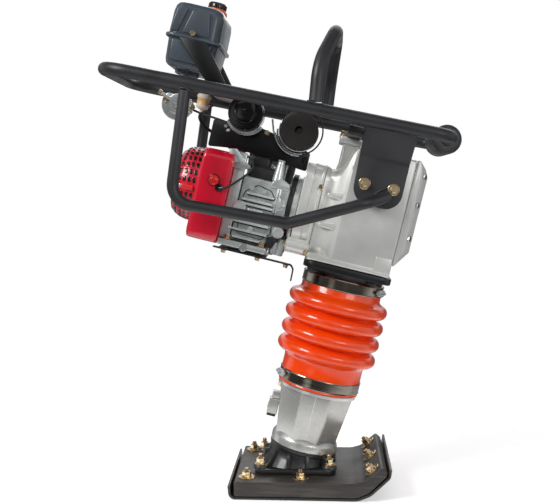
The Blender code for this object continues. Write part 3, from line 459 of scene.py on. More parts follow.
@dataclass
class Draft:
    """A piece being drawn: primitives are added to one mesh, each in the finish in use at the time.

    Attributes:
        space: the matrix from the drawing's millimetres to the row frame's metres.
    """

    space: Matrix = field(default_factory=lambda: RAM.copy())
    mesh: bmesh.types.BMesh = field(default_factory=bmesh.new)
    finishes: list[Finish] = field(default_factory=list)
    current: int = 0

    def use(self, finish: Finish) -> Draft:
        """Choose the finish of what is drawn next."""
        if finish not in self.finishes:
            self.finishes.append(finish)
        self.current = self.finishes.index(finish)
        return self

    def take(self, part: bmesh.types.BMesh, bevel: float = 0.0, segments: int = 2,
             over: float = 30.0) -> None:
        """Add a finished primitive to the drawing, its sharp edges rounded.

        Args:
            part: the primitive, which is used up.
            bevel: how far its edges are rounded.
            segments: segments in each rounded edge.
            over: only edges bent by more than this many degrees are rounded.
        """
        bmesh.ops.recalc_face_normals(part, faces=part.faces)
        if bevel:
            sharp = [edge for edge in part.edges
                     if len(edge.link_faces) == 2 and edge.calc_face_angle(0) > math.radians(over)]
            bmesh.ops.bevel(part, geom=sharp, offset=bevel, segments=segments, profile=0.5, affect="EDGES",
                            clamp_overlap=True)
        for face in part.faces:
            face.material_index = self.current
        part.transform(self.space)
        scratch = bpy.data.meshes.new("scratch")
        part.to_mesh(scratch)
        part.free()
        self.mesh.from_mesh(scratch)
        bpy.data.meshes.remove(scratch)

    def loft(self, rings: Sequence[Sequence[Point]], bevel: float = 0.0, segments: int = 2,
             over: float = 30.0, closed: bool = False) -> Draft:
        """Draw a skin over rings of points, capped at both ends unless it returns to its start.

        Args:
            rings: rings with as many points each.
            bevel: how far its edges are rounded.
            segments: segments in each rounded edge.
            over: only edges bent by more than this many degrees are rounded.
            closed: whether the last ring joins the first.
        """
        part = bmesh.new()
        loops = [[part.verts.new(point) for point in ring] for ring in rings]
        for first, second in zip(loops, loops[1:] + (loops[:1] if closed else [])):
            for index in range(len(first)):
                after = (index + 1) % len(first)
                part.faces.new((first[index], first[after], second[after], second[index]))
        if not closed:
            part.faces.new(loops[0][::-1])
            part.faces.new(loops[-1])
        self.take(part, bevel, segments, over)
        return self

    def block(self, low: Point, high: Point, bevel: float = 1.0, segments: int = 2,
              turn: Matrix | None = None) -> Draft:
        """Draw a block between two corners.

        Args:
            low: its lowest corner.
            high: its highest corner.
            bevel: how far its edges are rounded.
            segments: segments in each rounded edge.
            turn: a rotation about the block's own middle.
        """
        low, high = Vector(low), Vector(high)
        part = bmesh.new()
        bmesh.ops.create_cube(part, size=1)
        bmesh.ops.scale(part, vec=high - low, verts=part.verts)
        if turn is not None:
            part.transform(turn.to_4x4())
        bmesh.ops.translate(part, vec=(low + high) / 2, verts=part.verts)
        self.take(part, bevel, segments)
        return self

    def prism(self, outline: Sequence[Point], low: float, high: float, across: Across = Across.Y,
              bevel: float = 0.0, segments: int = 2) -> Draft:
        """Draw a flat outline out along an axis.

        Args:
            outline: flat points in the order of the two axes left.
            low: where it starts along the axis.
            high: where it ends.
            across: the axis.
            bevel: how far its edges are rounded.
            segments: segments in each rounded edge.
        """
        rings = []
        for height in (low, high):
            ring = [[point[0], point[1]] for point in outline]
            for spot in ring:
                spot.insert(across.value, height)
            rings.append(ring)
        return self.loft(rings, bevel, segments)

    def turned(self, profile: Sequence[Point], at: Point = (0, 0, 0), way: Way | Vector = Way.UP,
               steps: int = 48, closed: bool = False) -> Draft:
        """Draw a lathe-turned body.

        Args:
            profile: (radius, height) points along its outside.
            at: where height zero lies.
            way: the direction of its axis.
            steps: segments round it.
            closed: whether the profile returns to its start, as on a tube.
        """
        part = bmesh.new()
        rings = []
        for radius, height in profile:
            if radius < 1e-6:
                rings.append([part.verts.new((0, 0, height))])
            else:
                rings.append([part.verts.new((x, y, height)) for x, y in ring_of((0, 0), radius, steps)])
        pairs = list(zip(rings, rings[1:])) + ([(rings[-1], rings[0])] if closed else [])
        for first, second in pairs:
            for index in range(steps):
                after = (index + 1) % steps
                corners = [first[index % len(first)], first[after % len(first)],
                           second[after % len(second)], second[index % len(second)]]
                face = list(dict.fromkeys(corners))
                if len(face) > 2:
                    part.faces.new(face)
        axis = Vector(way.value) if isinstance(way, Way) else Vector(way)
        part.transform(Matrix.Translation(Vector(at)) @ axis.to_track_quat("Z", "Y").to_matrix().to_4x4())
        self.take(part)
        return self

    def bar(self, at: Point, length: float, radius: float, way: Way | Vector = Way.UP,
            end: float | None = None, chamfer: float = 0.8, steps: int = 32) -> Draft:
        """Draw a round bar or cone with broken edges.

        Args:
            at: the middle of its first face.
            length: its length.
            radius: its radius at the first face.
            way: the direction that it runs in.
            end: its radius at the far face, when it tapers.
            chamfer: how far its edges are broken.
            steps: segments round it.
        """
        end = radius if end is None else end
        edge = min(chamfer, radius * 0.45, end * 0.45, length * 0.45)
        return self.turned([(0, 0), (radius - edge, 0), (radius, edge), (end, length - edge),
                            (end - edge, length), (0, length)], at, way, steps)

    def tube(self, path: Sequence[Vector], radius: float, sides: int = 24, closed: bool = False) -> Draft:
        """Draw a round tube along a path.

        Args:
            path: the points of its middle line.
            radius: its radius.
            sides: faces round it.
            closed: whether it returns to its start.
        """
        part = bmesh.new()
        count = len(path)
        ways = []
        for index in range(count):
            before = path[(index - 1) % count] if closed or index else path[0]
            after = path[(index + 1) % count] if closed or index < count - 1 else path[-1]
            ways.append((after - before).normalized())
        side = ways[0].orthogonal().normalized()
        rings = []
        for index, way in enumerate(ways):
            side = (side - way * side.dot(way)).normalized()
            up = way.cross(side)
            rings.append([part.verts.new(path[index] + (side * x + up * y)) for x,
                          y in ring_of((0, 0), radius, sides)])
        offset = 0
        if closed:
            offset = min(range(sides), key=lambda shift: (rings[0][shift].co - rings[-1][0].co).length)
        for number, (first, second) in enumerate(zip(rings, rings[1:] + ([rings[0]] if closed else []))):
            shift = offset if closed and number == count - 1 else 0
            for index in range(sides):
                after = (index + 1) % sides
                part.faces.new((first[index], first[after], second[(after + shift) % sides],
                                second[(index + shift) % sides]))
        if not closed:
            part.faces.new(rings[0])
            part.faces.new(rings[-1][::-1])
        self.take(part)
        return self

    def bead(self, path: Sequence[Vector], radius: float, closed: bool = False) -> Draft:
        """Draw a thin raised line, such as a weld or a parting line."""
        return self.tube(path, radius, sides=8, closed=closed)

    def bolt(self, at: Point, across: float = 13.0, head: float = 6.0, way: Way | Vector = Way.RIGHT,
             washer: float = 0.0, stud: float = 0.0, spring: bool = False) -> Draft:
        """Draw a hexagon head or nut standing on a face.

        Args:
            at: the middle of the face under it.
            across: the size across its flats.
            head: its height.
            way: the direction that it stands out in.
            washer: the radius of a washer under it, or zero.
            stud: how far a thread stands out of the nut, or zero.
            spring: whether a spring washer lies under the head.
        """
        axis = Vector(way.value) if isinstance(way, Way) else Vector(way).normalized()
        base = Vector(at)
        if washer:
            self.turned([(0, 0), (washer, 0), (washer, 2.0), (washer - 0.8, 2.6), (0, 2.6)], base, axis, 36)
            base = base + axis * 2.4
        if spring:
            self.turned([(0, 0), (across * 0.62, 0), (across * 0.62, 2.2), (0, 2.2)], base, axis, 24)
            base = base + axis * 2.2
        radius = across / math.sqrt(3)
        place = Matrix.Translation(base) @ axis.to_track_quat("Z", "Y").to_matrix().to_4x4()
        self.loft([[place @ Vector((x, y, height)) for x, y in ring_of((0, 0), rim, 6, 0.3)]
                   for rim, height in ((radius, 0.0), (radius, head - 0.8), (radius * 0.86, head))])
        if stud:
            thread = across * 0.31
            profile = [(0, head - 1)]
            height = head - 1
            while height < head + stud - 1:
                profile += [(thread, height), (thread * 0.86, height + 0.7)]
                height += 1.4
            profile += [(thread * 0.8, head + stud), (0, head + stud)]
            self.turned(profile, base, axis, 18)
        return self

    def cord(self, name: str, node: str, knots: Sequence[Point], radius: float,
             count: int = 26, sides: int = 14, thinner: float = 0.0) -> None:
        """Finish the drawing as a cord that the upper machine holds at both ends.

        Args:
            name: the piece's name.
            node: the CAD node that it stands for.
            knots: the points that its route passes through.
            radius: its radius.
            count: how many points its route gets.
            sides: faces round it.
            thinner: how much less than its radius it is drawn with.
        """
        route = smooth_line(knots, count)
        self.use(BLACK_RUBBER).tube(route, radius - thinner, sides)
        made = self.piece(name, "upper", "black_rubber", node)

    def piece(self, name: str, body: str, slot: str, *replaces: str, fold: float = 32.0) -> bpy.types.Object:
        """Finish the drawing as one piece.

        Args:
            name: the piece's name.
            body: the body that it rides on, or nothing when it is left free for a blend.
            slot: the record's material slot; it is not used.
            replaces: the CAD nodes that it stands for.
            fold: edges bent by more than this many degrees stay sharp.

        Returns:
            The piece.
        """
        mesh = bpy.data.meshes.new(name)
        self.mesh.to_mesh(mesh)
        self.mesh.free()
        for finish in self.finishes:
            mesh.materials.append(finish.material())
        mesh.shade_smooth()
        mesh.set_sharp_from_angle(angle=math.radians(fold))
        made = bpy.data.objects.new(name, mesh)
        bpy.context.scene.collection.objects.link(made)
        if replaces:
            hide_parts(*replaces)
        if body:
            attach(made, body)
        log.info("%s: %d faces", name, len(mesh.polygons))
        return made


# ------------------------------------------------------------------ shoe and leg

@dataclass
class Shoe:
    """The wear plate, the board on it and their bolts, in the world frame."""

    half_width: float = 139.6
    board_half_width: float = 138.2
    plate_thick: float = 5.0
    board_low: float = 5.4
    board_top: float = 37.0
    toe_start: float = 138.0
    side_bolts: tuple = ((-98.0, 104.0), (17.0, 104.0))
    toe_bolts: tuple = (-105.0, 0.0, 105.0)
    bolt_across: float = 17.0

    def build(self) -> None:
        """Build the plate, the board and the bolts."""
        half = self.plate_thick / 2
        line = rounded([(-133.5, 29), (-131, half), (self.toe_start, half), (164, 13.5),
                        (204, 51), (206.5, 69)], [0, 12, 45, 40, 14, 0], steps=10)
        plate = Draft(space=WORLD).use(WEAR_STEEL)
        plate.prism(ribbon(line, self.plate_thick), -self.half_width, self.half_width, bevel=1.2)
        plate.piece("wear_plate", "foot", "sole_steel", "sole_plate")
        board = rounded([(-123, self.board_low), (self.toe_start - 2, self.board_low), (161, 16.5),
                         (196.5, 51), (200, 62), (188, 73), (152, 43), (130, self.board_top),
                         (-123, self.board_top)], [6, 45, 40, 6, 4, 5, 30, 40, 3], closed=True, steps=10)
        draft = Draft(space=WORLD).use(BOARD)
        draft.prism(board, -self.board_half_width, self.board_half_width, bevel=2.6, segments=3)
        draft.piece("laminated_board", "foot", "shoe_laminate", "shoe_board", fold=40)
        self.bolts()

    def bolts(self) -> None:
        """Build the bolts that hold the board to the plate, on wide washers."""
        draft = Draft(space=WORLD).use(YELLOW_ZINC)
        for x, y in self.side_bolts:
            for side in (-1, 1):
                draft.bolt((x, side * y, self.board_top), self.bolt_across, 9.0, Way.UP, washer=18.5,
                           stud=7.0, spring=True)
        slope = Vector((-math.sin(math.radians(42)), 0, math.cos(math.radians(42))))
        for y in self.toe_bolts:
            draft.bolt((168.5, y, 56.6), self.bolt_across, 9.0, slope, washer=18.5, stud=5.0, spring=True)
        draft.piece("shoe_bolts", "foot", "machined_steel")


@dataclass
class FootCasting:
    """The ribbed black casting between the board and the leg, with its studs."""

    base_low: float = 37.4
    base_thick: float = 12.0
    middle: float = 4.5
    half: float = 88.0
    bell_radius: float = 74.0
    bell_top: float = 85.6
    stud_x: tuple = (-71.0, 78.0)
    stud_y: float = 64.0

    def build(self) -> None:
        """Build the casting and its studs."""
        draft = Draft(space=WORLD).use(BLACK_CAST)
        top = self.base_low + self.base_thick
        outline = oblong((self.middle - self.half, -self.half), (self.middle + self.half, self.half), 22, 6)
        draft.prism(outline, self.base_low, top, Across.W, bevel=2.0)
        draft.space = RAM.copy()
        draft.turned([(0, 30), (90, 30), (84, 44), (77, 56), (72.5, 68), (72, 76), (self.bell_radius, 78.5),
                      (self.bell_radius, self.bell_top - 1), (self.bell_radius - 1, self.bell_top),
                      (0, self.bell_top)], steps=96)
        for index in range(12):
            turn = Matrix.Rotation(math.radians(30 * index + 15), 4, "Z")
            draft.space = WORLD @ Matrix.Translation((self.middle + 6, 0, 0)) @ turn
            reach = 104 if index % 3 == 1 else 84
            draft.prism([(60, top - 2), (reach, top - 2), (reach, top + 3), (78, 77), (60, 80)], -4.5, 4.5,
                        bevel=1.6)
        draft.space = WORLD
        for x in self.stud_x:
            for side in (-1, 1):
                draft.use(BLACK_CAST).turned([(0, top - 2), (17, top - 2), (15, top + 5), (14, top + 6),
                                              (0, top + 6)],
                                             (x, side * self.stud_y, 0), steps=32)
        draft.piece("foot_bell_casting", "foot", "black_cast", "foot_casting", fold=38)
        studs = Draft(space=WORLD).use(YELLOW_ZINC)
        for x in self.stud_x:
            for side in (-1, 1):
                studs.bolt((x, side * self.stud_y, top + 5), 16.0, 9.5, Way.UP, washer=13.0, stud=9.0,
                           spring=True)
        studs.piece("foot_studs", "foot", "machined_steel")


@dataclass
class Leg:
    """The faceted leg with its collar, oil sight block and plug."""

    low: float = 98.0
    top: float = 217.0
    low_apothem: float = 65.5
    top_apothem: float = 80.0
    collar_radius: float = 74.0
    collar_low: float = 86.0
    spigot_radius: float = 83.6
    bore_radius: float = 56.0
    bore_apothem: float = 54.0
    floor: float = 113.0
    fittings: tuple = (((-97, -12, 136), (-74, 12, 171)), ((-93, -9, 171), (-74, 9, 188)))

    def build(self) -> None:
        """Build the leg and what is screwed to it."""
        draft = Draft().use(PAINTED_CAST)
        levels = ((self.low, self.low_apothem), (self.top, self.top_apothem), (self.top, self.bore_apothem),
                  (self.floor, self.bore_apothem))
        draft.loft([[(x, y, height) for x, y in ring_of((0, 0), apothem / math.cos(math.pi / 8), 8,
                                                        math.pi / 8)]
                    for height, apothem in levels], 5.0, 4)
        draft.turned([(self.bore_radius, self.collar_low), (self.collar_radius - 1, self.collar_low),
                      (self.collar_radius, self.collar_low + 1), (self.collar_radius, 101),
                      (self.collar_radius - 1.5, 104), (67, 112), (60, 118), (self.bore_radius, 118)],
                     steps=96,
                     closed=True)
        draft.turned([(self.bore_radius, 214), (87.6, 214), (87.6, 220.6), (self.spigot_radius, 220.6),
                      (self.spigot_radius, 262), (self.bore_radius, 262)], steps=96, closed=True)
        for side in (-1, 1):
            draft.bead([Vector((0, side * (self.low_apothem + 2), 118)),
                        Vector((0, side * self.top_apothem, 215))], 0.8)
        for low, high in self.fittings:
            draft.block(low, high, 2.0, 3)
        draft.piece("leg_casting", "foot", "leg_alloy", "spring_cylinder", fold=40)
        plugs = Draft().use(BLACK_RUBBER)
        plugs.block((-96, -11, 131), (-76, 11, 135.6), 1.2)
        plugs.use(MILKY_NYLON).bar((-96.2, 0, 153), 2.6, 7.0, Way.BACK)
        plugs.use(YELLOW_ZINC).bolt((-78.6, 0, 206), 13, 5, Vector((-1, 0, 0.12)), washer=8)
        plugs.piece("oil_sight_fittings", "foot", "machined_steel")


@dataclass
class Bellows:
    """The ringed orange bellows and its two worm-drive bands."""

    cuff: float = 88.5
    lip: float = 89.6
    inside: float = 84.0
    low: float = 222.5
    high: float = 470.0
    heights: tuple = (303.0, 339.5, 376.0, 412.5)
    out: float = 110.4
    round_radius: float = 14.6
    wall: float = 4.0
    bands: tuple = (239.0, 458.5)
    band_width: float = 23.0

    def profile(self) -> list[tuple[float, float]]:
        """Return the closed profile of the moulded bellows, as (radius, height)."""
        core = self.out - self.round_radius
        outside = [(self.cuff - 1, self.high), (self.cuff, self.high - 2), (self.cuff, 436), (91, 431),
                   (95, 428.6)]
        for height in reversed(self.heights):
            for step in range(13):
                angle = math.radians(84 - 14 * step)
                outside.append((core + self.round_radius * math.cos(angle),
                                height + self.round_radius * math.sin(angle)))
            if height != self.heights[0]:
                outside += [(core - 4.0, height - 16.6), (core - 5.2, height - 18.2),
                            (core - 4.0, height - 19.9)]
        outside += [(94, 287), (90.5, 283), (self.cuff, 278), (self.cuff, self.low + 4),
                    (self.lip, self.low + 3), (self.lip, self.low)]
        inner = [(self.inside, self.low), (self.inside, 284)]
        for height in self.heights:
            inner += [(core - 1, height - 11), (core + self.round_radius - self.wall, height),
                      (core - 1, height + 11), (core - 9.5, height + 18.2)]
        inner[-1] = (self.inside, 430)
        return outside + inner + [(self.inside, self.high)]

    def build(self) -> None:
        """Build the bellows, which stretches between the upper machine and the foot, and the bands."""
        draft = Draft().use(POLYURETHANE)
        draft.turned(self.profile(), steps=112, closed=True)
        boot = draft.piece("ringed_bellows", "", "bellows_rubber", "bellows", fold=50)
        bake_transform(boot)
        self.band("lower_band", "lower_clamp", "foot", self.bands[0], 205)
        self.band("upper_band", "upper_clamp", "upper", self.bands[1], -28)

    def band(self, name: str, node: str, body: str, height: float, turn: float) -> None:
        """Build one band with its worm-drive housing.

        Args:
            name: the band's name.
            node: the CAD node that it stands for.
            body: the body that it rides on.
            height: its middle height.
            turn: where round the leg its screw sits, in degrees from forward towards the left.
        """
        half = self.band_width / 2
        draft = Draft().use(STAINLESS)
        inner = self.cuff + 0.4
        draft.turned([(inner, height - half), (inner + 1.6, height - half),
                      (inner + 2.2, height - half + 1.4), (inner + 1.3, height - half + 2.4),
                      (inner + 1.3, height + half - 2.4), (inner + 2.2, height + half - 1.4),
                      (inner + 1.6, height + half), (inner, height + half)],
                     steps=112, closed=True)
        draft.space = RAM @ Matrix.Rotation(math.radians(turn), 4, "Z")
        draft.use(BRIGHT_ZINC).block((inner + 1, -13, height - 7.5), (inner + 9, 11, height + 7.5), 2.0, 3)
        draft.bar((inner + 6.5, -16, height), 32, 4.2, Way.LEFT, chamfer=0.8)
        draft.bolt((inner + 6.5, -12, height), 8.0, 7.0, Way.RIGHT)
        draft.piece(name, body, "stainless", node)


# ------------------------------------------------------------------ drive case

@dataclass
class DriveCase:
    """Crankcase, front cover, clutch housing and the flange that the bellows hangs on."""

    back: float = -91.5
    front: float = 86.6
    low: float = 498.0
    top: float = 751.5
    half: float = 99.5
    waist_half: float = 86.0
    cover_half: float = 94.0
    clutch_back: float = -134.5
    clutch_half: float = 82.0
    bolt_across: float = 10.0
    cover_bolts: tuple = (588.5, 660, 722)
    flange_low: float = 437.0
    flange_top: float = 482.0

    def build(self) -> None:
        """Build the castings and their bolts."""
        self.case()
        self.cover()
        self.clutch()
        self.flange()

    def case(self) -> None:
        """Build the crankcase: a broad chest, a narrower ribbed rear and the ears on top."""
        draft = Draft().use(SAND_CAST)
        draft.prism([(-44, self.low + 6), (self.front, self.low + 6), (self.front, self.top), (-40, self.top),
                     (-46, 706), (-44, 690)], -self.half + 2, self.half - 2, bevel=6, segments=4)
        rear = ((self.back, 83, 504, 698, 30), (-82, 80, 507, 694, 30), (-70, 82, 507, 697, 28),
                (-60, 88, 505, 706, 24), (-52, 93.5, 504, 724, 18), (-46, 96, 504, 742, 13),
                (-40, 97.4, 504, 750, 9))
        draft.loft([[(along, *point.xy) for point in oblong((-half, low), (half, high), corner)]
                    for along, half, low, high, corner in rear])
        draft.prism([(self.back, self.low), (self.front, self.low), (self.front, self.low + 15),
                     (self.back, self.low + 15)],
                    -self.half + 1, self.half - 1, bevel=4, segments=3)
        for side in (-1, 1):
            near, far = span(side, self.waist_half - 2, self.half - 3)
            for height, back in ((575, -84), (640, -80)):
                draft.prism([(back, height - 4), (-48, height - 7), (-44, height + 9), (back, height + 4)],
                            near, far, bevel=3.5, segments=4)
            low, high = span(side, 22, 62)
            draft.block((-82, low, 753), (-33, high, 767.5), 4.0, 3)
            draft.prism([(-76, 690), (-44, 690), (-38, 757), (-72, 757), (-72, 712)], low + 5, high - 5,
                        bevel=4, segments=3)
            low, high = span(side, self.half - 12, self.half)
            draft.block((50, low, 504), (85.5, high, 539), 3.0, 3)
            draft.bar((-46, side * (self.half - 10), 650), 32, 7.5, Way.FRONT, chamfer=2)
        draft.piece("case_casting", "upper", "light_alloy", "crankcase", fold=36)
        bolts = Draft().use(YELLOW_ZINC)
        for side in (-1, 1):
            bolts.bolt((-75, side * 42, 767.5), 13, 7, Way.UP, washer=9, spring=True)
            for height in (509, 651):
                bolts.bolt((-91.5, side * 88, height), 10, 7, Way.BACK, washer=6.5)
        bolts.piece("case_bolts", "upper", "machined_steel")

    def cover(self) -> None:
        """Build the faceted front cover, cut back along its sides, and the bolts round it."""
        base = self.front + 0.6
        edge = [(base, 525), (91, 525), (101, 553), (101, 726), (98, 741), (94, 752), (base, 752)]
        face = [(base, 525), (91, 525), (117, 559), (117, 722), (110, 737), (95, 753), (base, 753)]
        draft = Draft().use(SAND_CAST)
        draft.loft([[(u, y, w) for u, w in line] for y, line in
                    ((-self.cover_half, edge), (-70, face), (70, face), (self.cover_half, edge))], 1.8, 3,
                   over=12)
        bolts = Draft().use(OILED_STEEL)
        for side in (-1, 1):
            slant = Vector((0.83, side * 0.56, 0))
            for height in self.cover_bolts:
                seat = Vector((105.5, side * 84, height))
                draft.bar(seat - slant * 3, 4.6, 11.5, slant, chamfer=1.2, steps=28)
                bolts.bolt(seat + slant * 1.4, self.bolt_across + 1.5, 5.5, slant)
        draft.piece("cover_casting", "upper", "light_alloy", "front_cover", fold=24)
        bolts.piece("cover_bolts", "upper", "machined_steel")

    def clutch(self) -> None:
        """Build the clutch housing with its two flanges, its bosses and the bolts along it."""
        draft = Draft().use(SAND_CAST)

        def slab(back: float, front: float, half: float, corner: float, low: float, high: float) -> None:
            """Draw a rounded slab across the engine's shaft."""
            draft.prism(oblong((-half, low), (half, high), corner), back, front, Across.U, bevel=2.2,
                        segments=3)

        slab(self.clutch_back, -114.5, self.clutch_half, 34, 524, 697)
        slab(-115.5, -98.5, self.clutch_half - 1.6, 33, 525.5, 695)
        slab(-99.5, -92.4, self.clutch_half + 2, 30, 503, 700)
        draft.block((-128, -60, 507), (-98, 60, 530), 3, 3)
        for side in (-1, 1):
            draft.bar((-141, side * 69, 517), 50, 16.5, Way.FRONT, chamfer=2, steps=44)
            draft.bar((-119, side * 56, 686), 27, 12.5, Way.FRONT, chamfer=3)
            draft.bar((-112, side * 68, 672), 20, 10, Way.FRONT, chamfer=2.5)
        draft.piece("clutch_casting", "upper", "light_alloy", "clutch_housing", fold=36)
        bolts = Draft().use(YELLOW_ZINC)
        for side in (-1, 1):
            bolts.bolt((-141, side * 69, 517), 13, 3, Way.BACK, washer=9)
            bolts.bolt((-92.6, side * 86, 651), self.bolt_across, 6, Way.BACK, washer=7)
            bolts.bolt((-119, side * 56, 686), self.bolt_across, 6, Way.BACK, washer=7)
        bolts.piece("clutch_bolts", "upper", "machined_steel")

    def flange(self) -> None:
        """Build the black flange ring under the case, with its bolts."""
        draft = Draft().use(BLACK_PAINT_AND_SHADE)
        low, top = self.flange_low, self.flange_top
        draft.prism(oblong((-95, -99), (95, 99), 26, 6), top, 496.6, Across.W, bevel=2.0)
        draft.turned([(62, low), (84, low), (84, top - 12), (88, top), (62, top)], steps=80, closed=True)
        for side in (-1, 1):
            draft.block((-84, side * 78 - 10, 474), (-60, side * 78 + 10, 484), 3)
            draft.block((46, side * 78 - 10, 474), (72, side * 78 + 10, 484), 3)
        draft.piece("flange_ring", "upper", "black_steel", "bellows_flange", fold=36)
        bolts = Draft()
        for side in (-1, 1):
            for along in (-74, 60):
                bolts.use(BLACK_PAINT_AND_SHADE).bolt((along, side * 84, top), 13, 8, Way.DOWN, washer=9, stud=2)
            bolts.use(YELLOW_ZINC).bolt((-88, side * 90, 496.6), 9, 6, Way.UP, washer=6)
        bolts.piece("flange_bolts", "upper", "machined_steel")


# ------------------------------------------------------------------ handle

@dataclass
class Handle:
    """The tube loop with its guards, bail, hanger plates, pads, strap and front roller."""

    rail_y: float = 170.0
    rail_radius: float = 13.5
    rail_w: float = 804.4
    slope: float = 0.035
    back: float = -590.0
    front: float = 136.0
    guard_u: float = -407.5
    guard_radius: float = 12.0
    bail_radius: float = 14.5
    bail_u: float = -146.0
    roller_radius: float = 31.0
    roller_half: float = 80.0
    plate_y: float = 121.0
    plate_thick: float = 6.0
    plate_bolts: tuple = ((-10.9, 679.4), (49.9, 680.4))

    def rail(self, u: float) -> float:
        """Return the height of the rails' middle line at a place along them."""
        return self.rail_w + self.slope * u

    def build(self) -> None:
        """Build the tubes, the plates and the roller."""
        self.loop()
        self.bail()
        for side, word in ((-1, "right"), (1, "left")):
            self.guard(side, word)
            self.hanger(side, word)
        self.roller()
        strap = Draft().use(BLACK_PAINT_AND_SHADE)
        line = rounded([(-157, 787), (-155, 770), (155, 770), (157, 787)], [0, 6, 6, 0], steps=5)
        strap.prism(ribbon(line, 4), -69, -39, Across.U, bevel=0.9)
        strap.use(YELLOW_ZINC)
        for side in (-1, 1):
            strap.bolt((-54, side * 112, 772), 13, 7, Way.UP, washer=9)
        strap.piece("cross_strap", "upper", "black_steel", "cross_bracket")

    def loop(self) -> None:
        """Build the closed loop of the handle, with the welds on it."""
        corners = [(self.back, -self.rail_y), (self.front, -self.rail_y), (self.front, self.rail_y),
                   (self.back, self.rail_y)]
        flat = rounded(corners, [60, 34, 34, 60], closed=True, steps=14)
        draft = Draft().use(POWDER_COAT)
        draft.tube([Vector((point.x, point.y, self.rail(point.x))) for point in flat], self.rail_radius, 36,
                   closed=True)
        for side in (-1, 1):
            for along, radius in ((self.bail_u, self.bail_radius), (self.guard_u, self.guard_radius)):
                lift = 1 if along == self.bail_u else -1
                bead = radius + 1.6
                weld = []
                for angle in (math.radians(15 * step) for step in range(24)):
                    sink = self.rail_radius - 3.5 + 3.0 * abs(math.cos(angle))
                    weld.append(Vector((along + bead * math.cos(angle),
                                        side * self.rail_y + bead * math.sin(angle) * 0.7,
                                        self.rail(along) + lift * sink)))
                draft.bead(weld, 1.9, closed=True)
        draft.piece("handle_loop", "upper", "frame_paint", "handle_frame")

    def bail(self) -> None:
        """Build the lifting bail over the engine, its two legs a little uneven."""
        knots = [(self.bail_u, -168, 815), (self.bail_u - 11, -166, 893), (self.bail_u + 4, -92, 972),
                 (self.bail_u + 5, 92, 976), (self.bail_u + 10, 166, 905), (self.bail_u + 20, 168, 815)]
        draft = Draft().use(POWDER_COAT)
        draft.tube(rounded(knots, [0, 90, 55, 55, 90, 0], steps=14), self.bail_radius, 36)
        draft.piece("bail_bow", "upper", "frame_paint", "lifting_bail")

    def guard(self, side: int, word: str) -> None:
        """Build one guard tube, flattened where it meets the hanger plate.

        Args:
            side: -1 for the operator's right, 1 for the left.
            word: the side's name.
        """
        knots = [(self.guard_u, side * self.rail_y, self.rail(self.guard_u) - self.rail_radius - 1.5),
                 (-386, side * self.rail_y, 551), (-144, side * self.rail_y, 564.5),
                 (0, side * self.rail_y, 641), (41, side * 128, 664)]
        draft = Draft().use(POWDER_COAT)
        draft.tube(rounded(knots, [0, 42, 40, 30, 0], steps=10), self.guard_radius, 32)
        draft.piece("guard_bow_" + word, "upper", "frame_paint", "guard_tube_" + word)

    def hanger(self, side: int, word: str) -> None:
        """Build one hanger plate with its rubber pad and big-washered bolts.

        Args:
            side: -1 for the operator's right, 1 for the left.
            word: the side's name.
        """
        outline = rounded([(-38, 0), (-34.5, 64), (-30, 166.5), (71, 166.5), (70.3, 100), (69.5, 0)],
                          [0, 0, 36, 34, 0, 0], closed=True, steps=8)
        bend = rounded([(157, 793.5), (self.plate_y, 738), (self.plate_y, 624)], [0, 26, 0], steps=6)
        reach = [0.0]
        for first, second in zip(bend, bend[1:]):
            reach.append(reach[-1] + (second - first).length)
        levels = sorted({*reach[:-1], *(point.y for point in outline if point.y < reach[-1]), 2.0})
        rings = []
        for level in levels:
            index = max(number for number, value in enumerate(reach[:-1]) if value <= level + 1e-6)
            spot = bend[index].lerp(bend[index + 1],
                                    (level - reach[index]) / (reach[index + 1] - reach[index]))
            crossings = []
            for first, second in zip(outline, outline[1:] + outline[:1]):
                if (first.y - level) * (second.y - level) <= 0 and abs(first.y - second.y) > 1e-6:
                    share = (level - first.y) / (second.y - first.y)
                    crossings.append(first.x + (second.x - first.x) * share)
            inner, outer = (side * (spot.x + face * self.plate_thick / 2) for face in (-1, 1))
            start, end = min(crossings), max(crossings)
            rings.append([(start, outer, spot.y), (end, outer, spot.y), (end, inner, spot.y),
                          (start, inner, spot.y)])
        draft = Draft().use(PLATE_COAT)
        draft.loft(rings, 1.2, 2, over=48)
        flank = side * (self.plate_y + self.plate_thick / 2)
        weld = [Vector((x, flank + side * 0.6, w)) for x, w in
                ((14, 662), (24, 672), (38, 680), (50, 678), (54, 668), (46, 656))]
        draft.use(POWDER_COAT).bead(smooth_line(weld, 40), 2.0)
        draft.piece("hanger_plate_" + word, "upper", "frame_paint", "side_plate_" + word, fold=40)
        pad = Draft().use(BLACK_RUBBER)
        low, high = span(side, 100.4, self.plate_y - self.plate_thick / 2 - 0.4)
        pad.block((-28, low, 661), (67, high, 699), 3.5, 3)
        pad.piece("rubber_mount_" + word, "upper", "black_rubber", "rubber_pad_" + word)
        bolts = Draft().use(YELLOW_ZINC)
        for u, w in self.plate_bolts:
            bolts.bolt((u, flank, w), 13, 7, Way.RIGHT if side < 0 else Way.LEFT, washer=12.4, spring=True)
        bolts.piece("hanger_bolts_" + word, "upper", "machined_steel")

    def roller(self) -> None:
        """Build the rubber roller on the loop's front bar."""
        draft = Draft().use(ROLLER_RUBBER)
        inner = self.rail_radius + 0.5
        half, out = self.roller_half, self.roller_radius
        draft.turned([(inner, -half), (out - 7, -half), (out - 5.2, -half + 0.8), (out - 0.6, -half + 6.4),
                      (out, -half + 8), (out, half - 8), (out - 0.6, half - 6.4), (out - 5.2, half - 0.8),
                      (out - 7, half), (inner, half)],
                     (self.front, 0, self.rail(self.front)), Way.RIGHT, 72, closed=True)
        draft.piece("front_roller", "roller", "black_rubber", "roller", fold=50)


# ------------------------------------------------------------------ tank and throttle

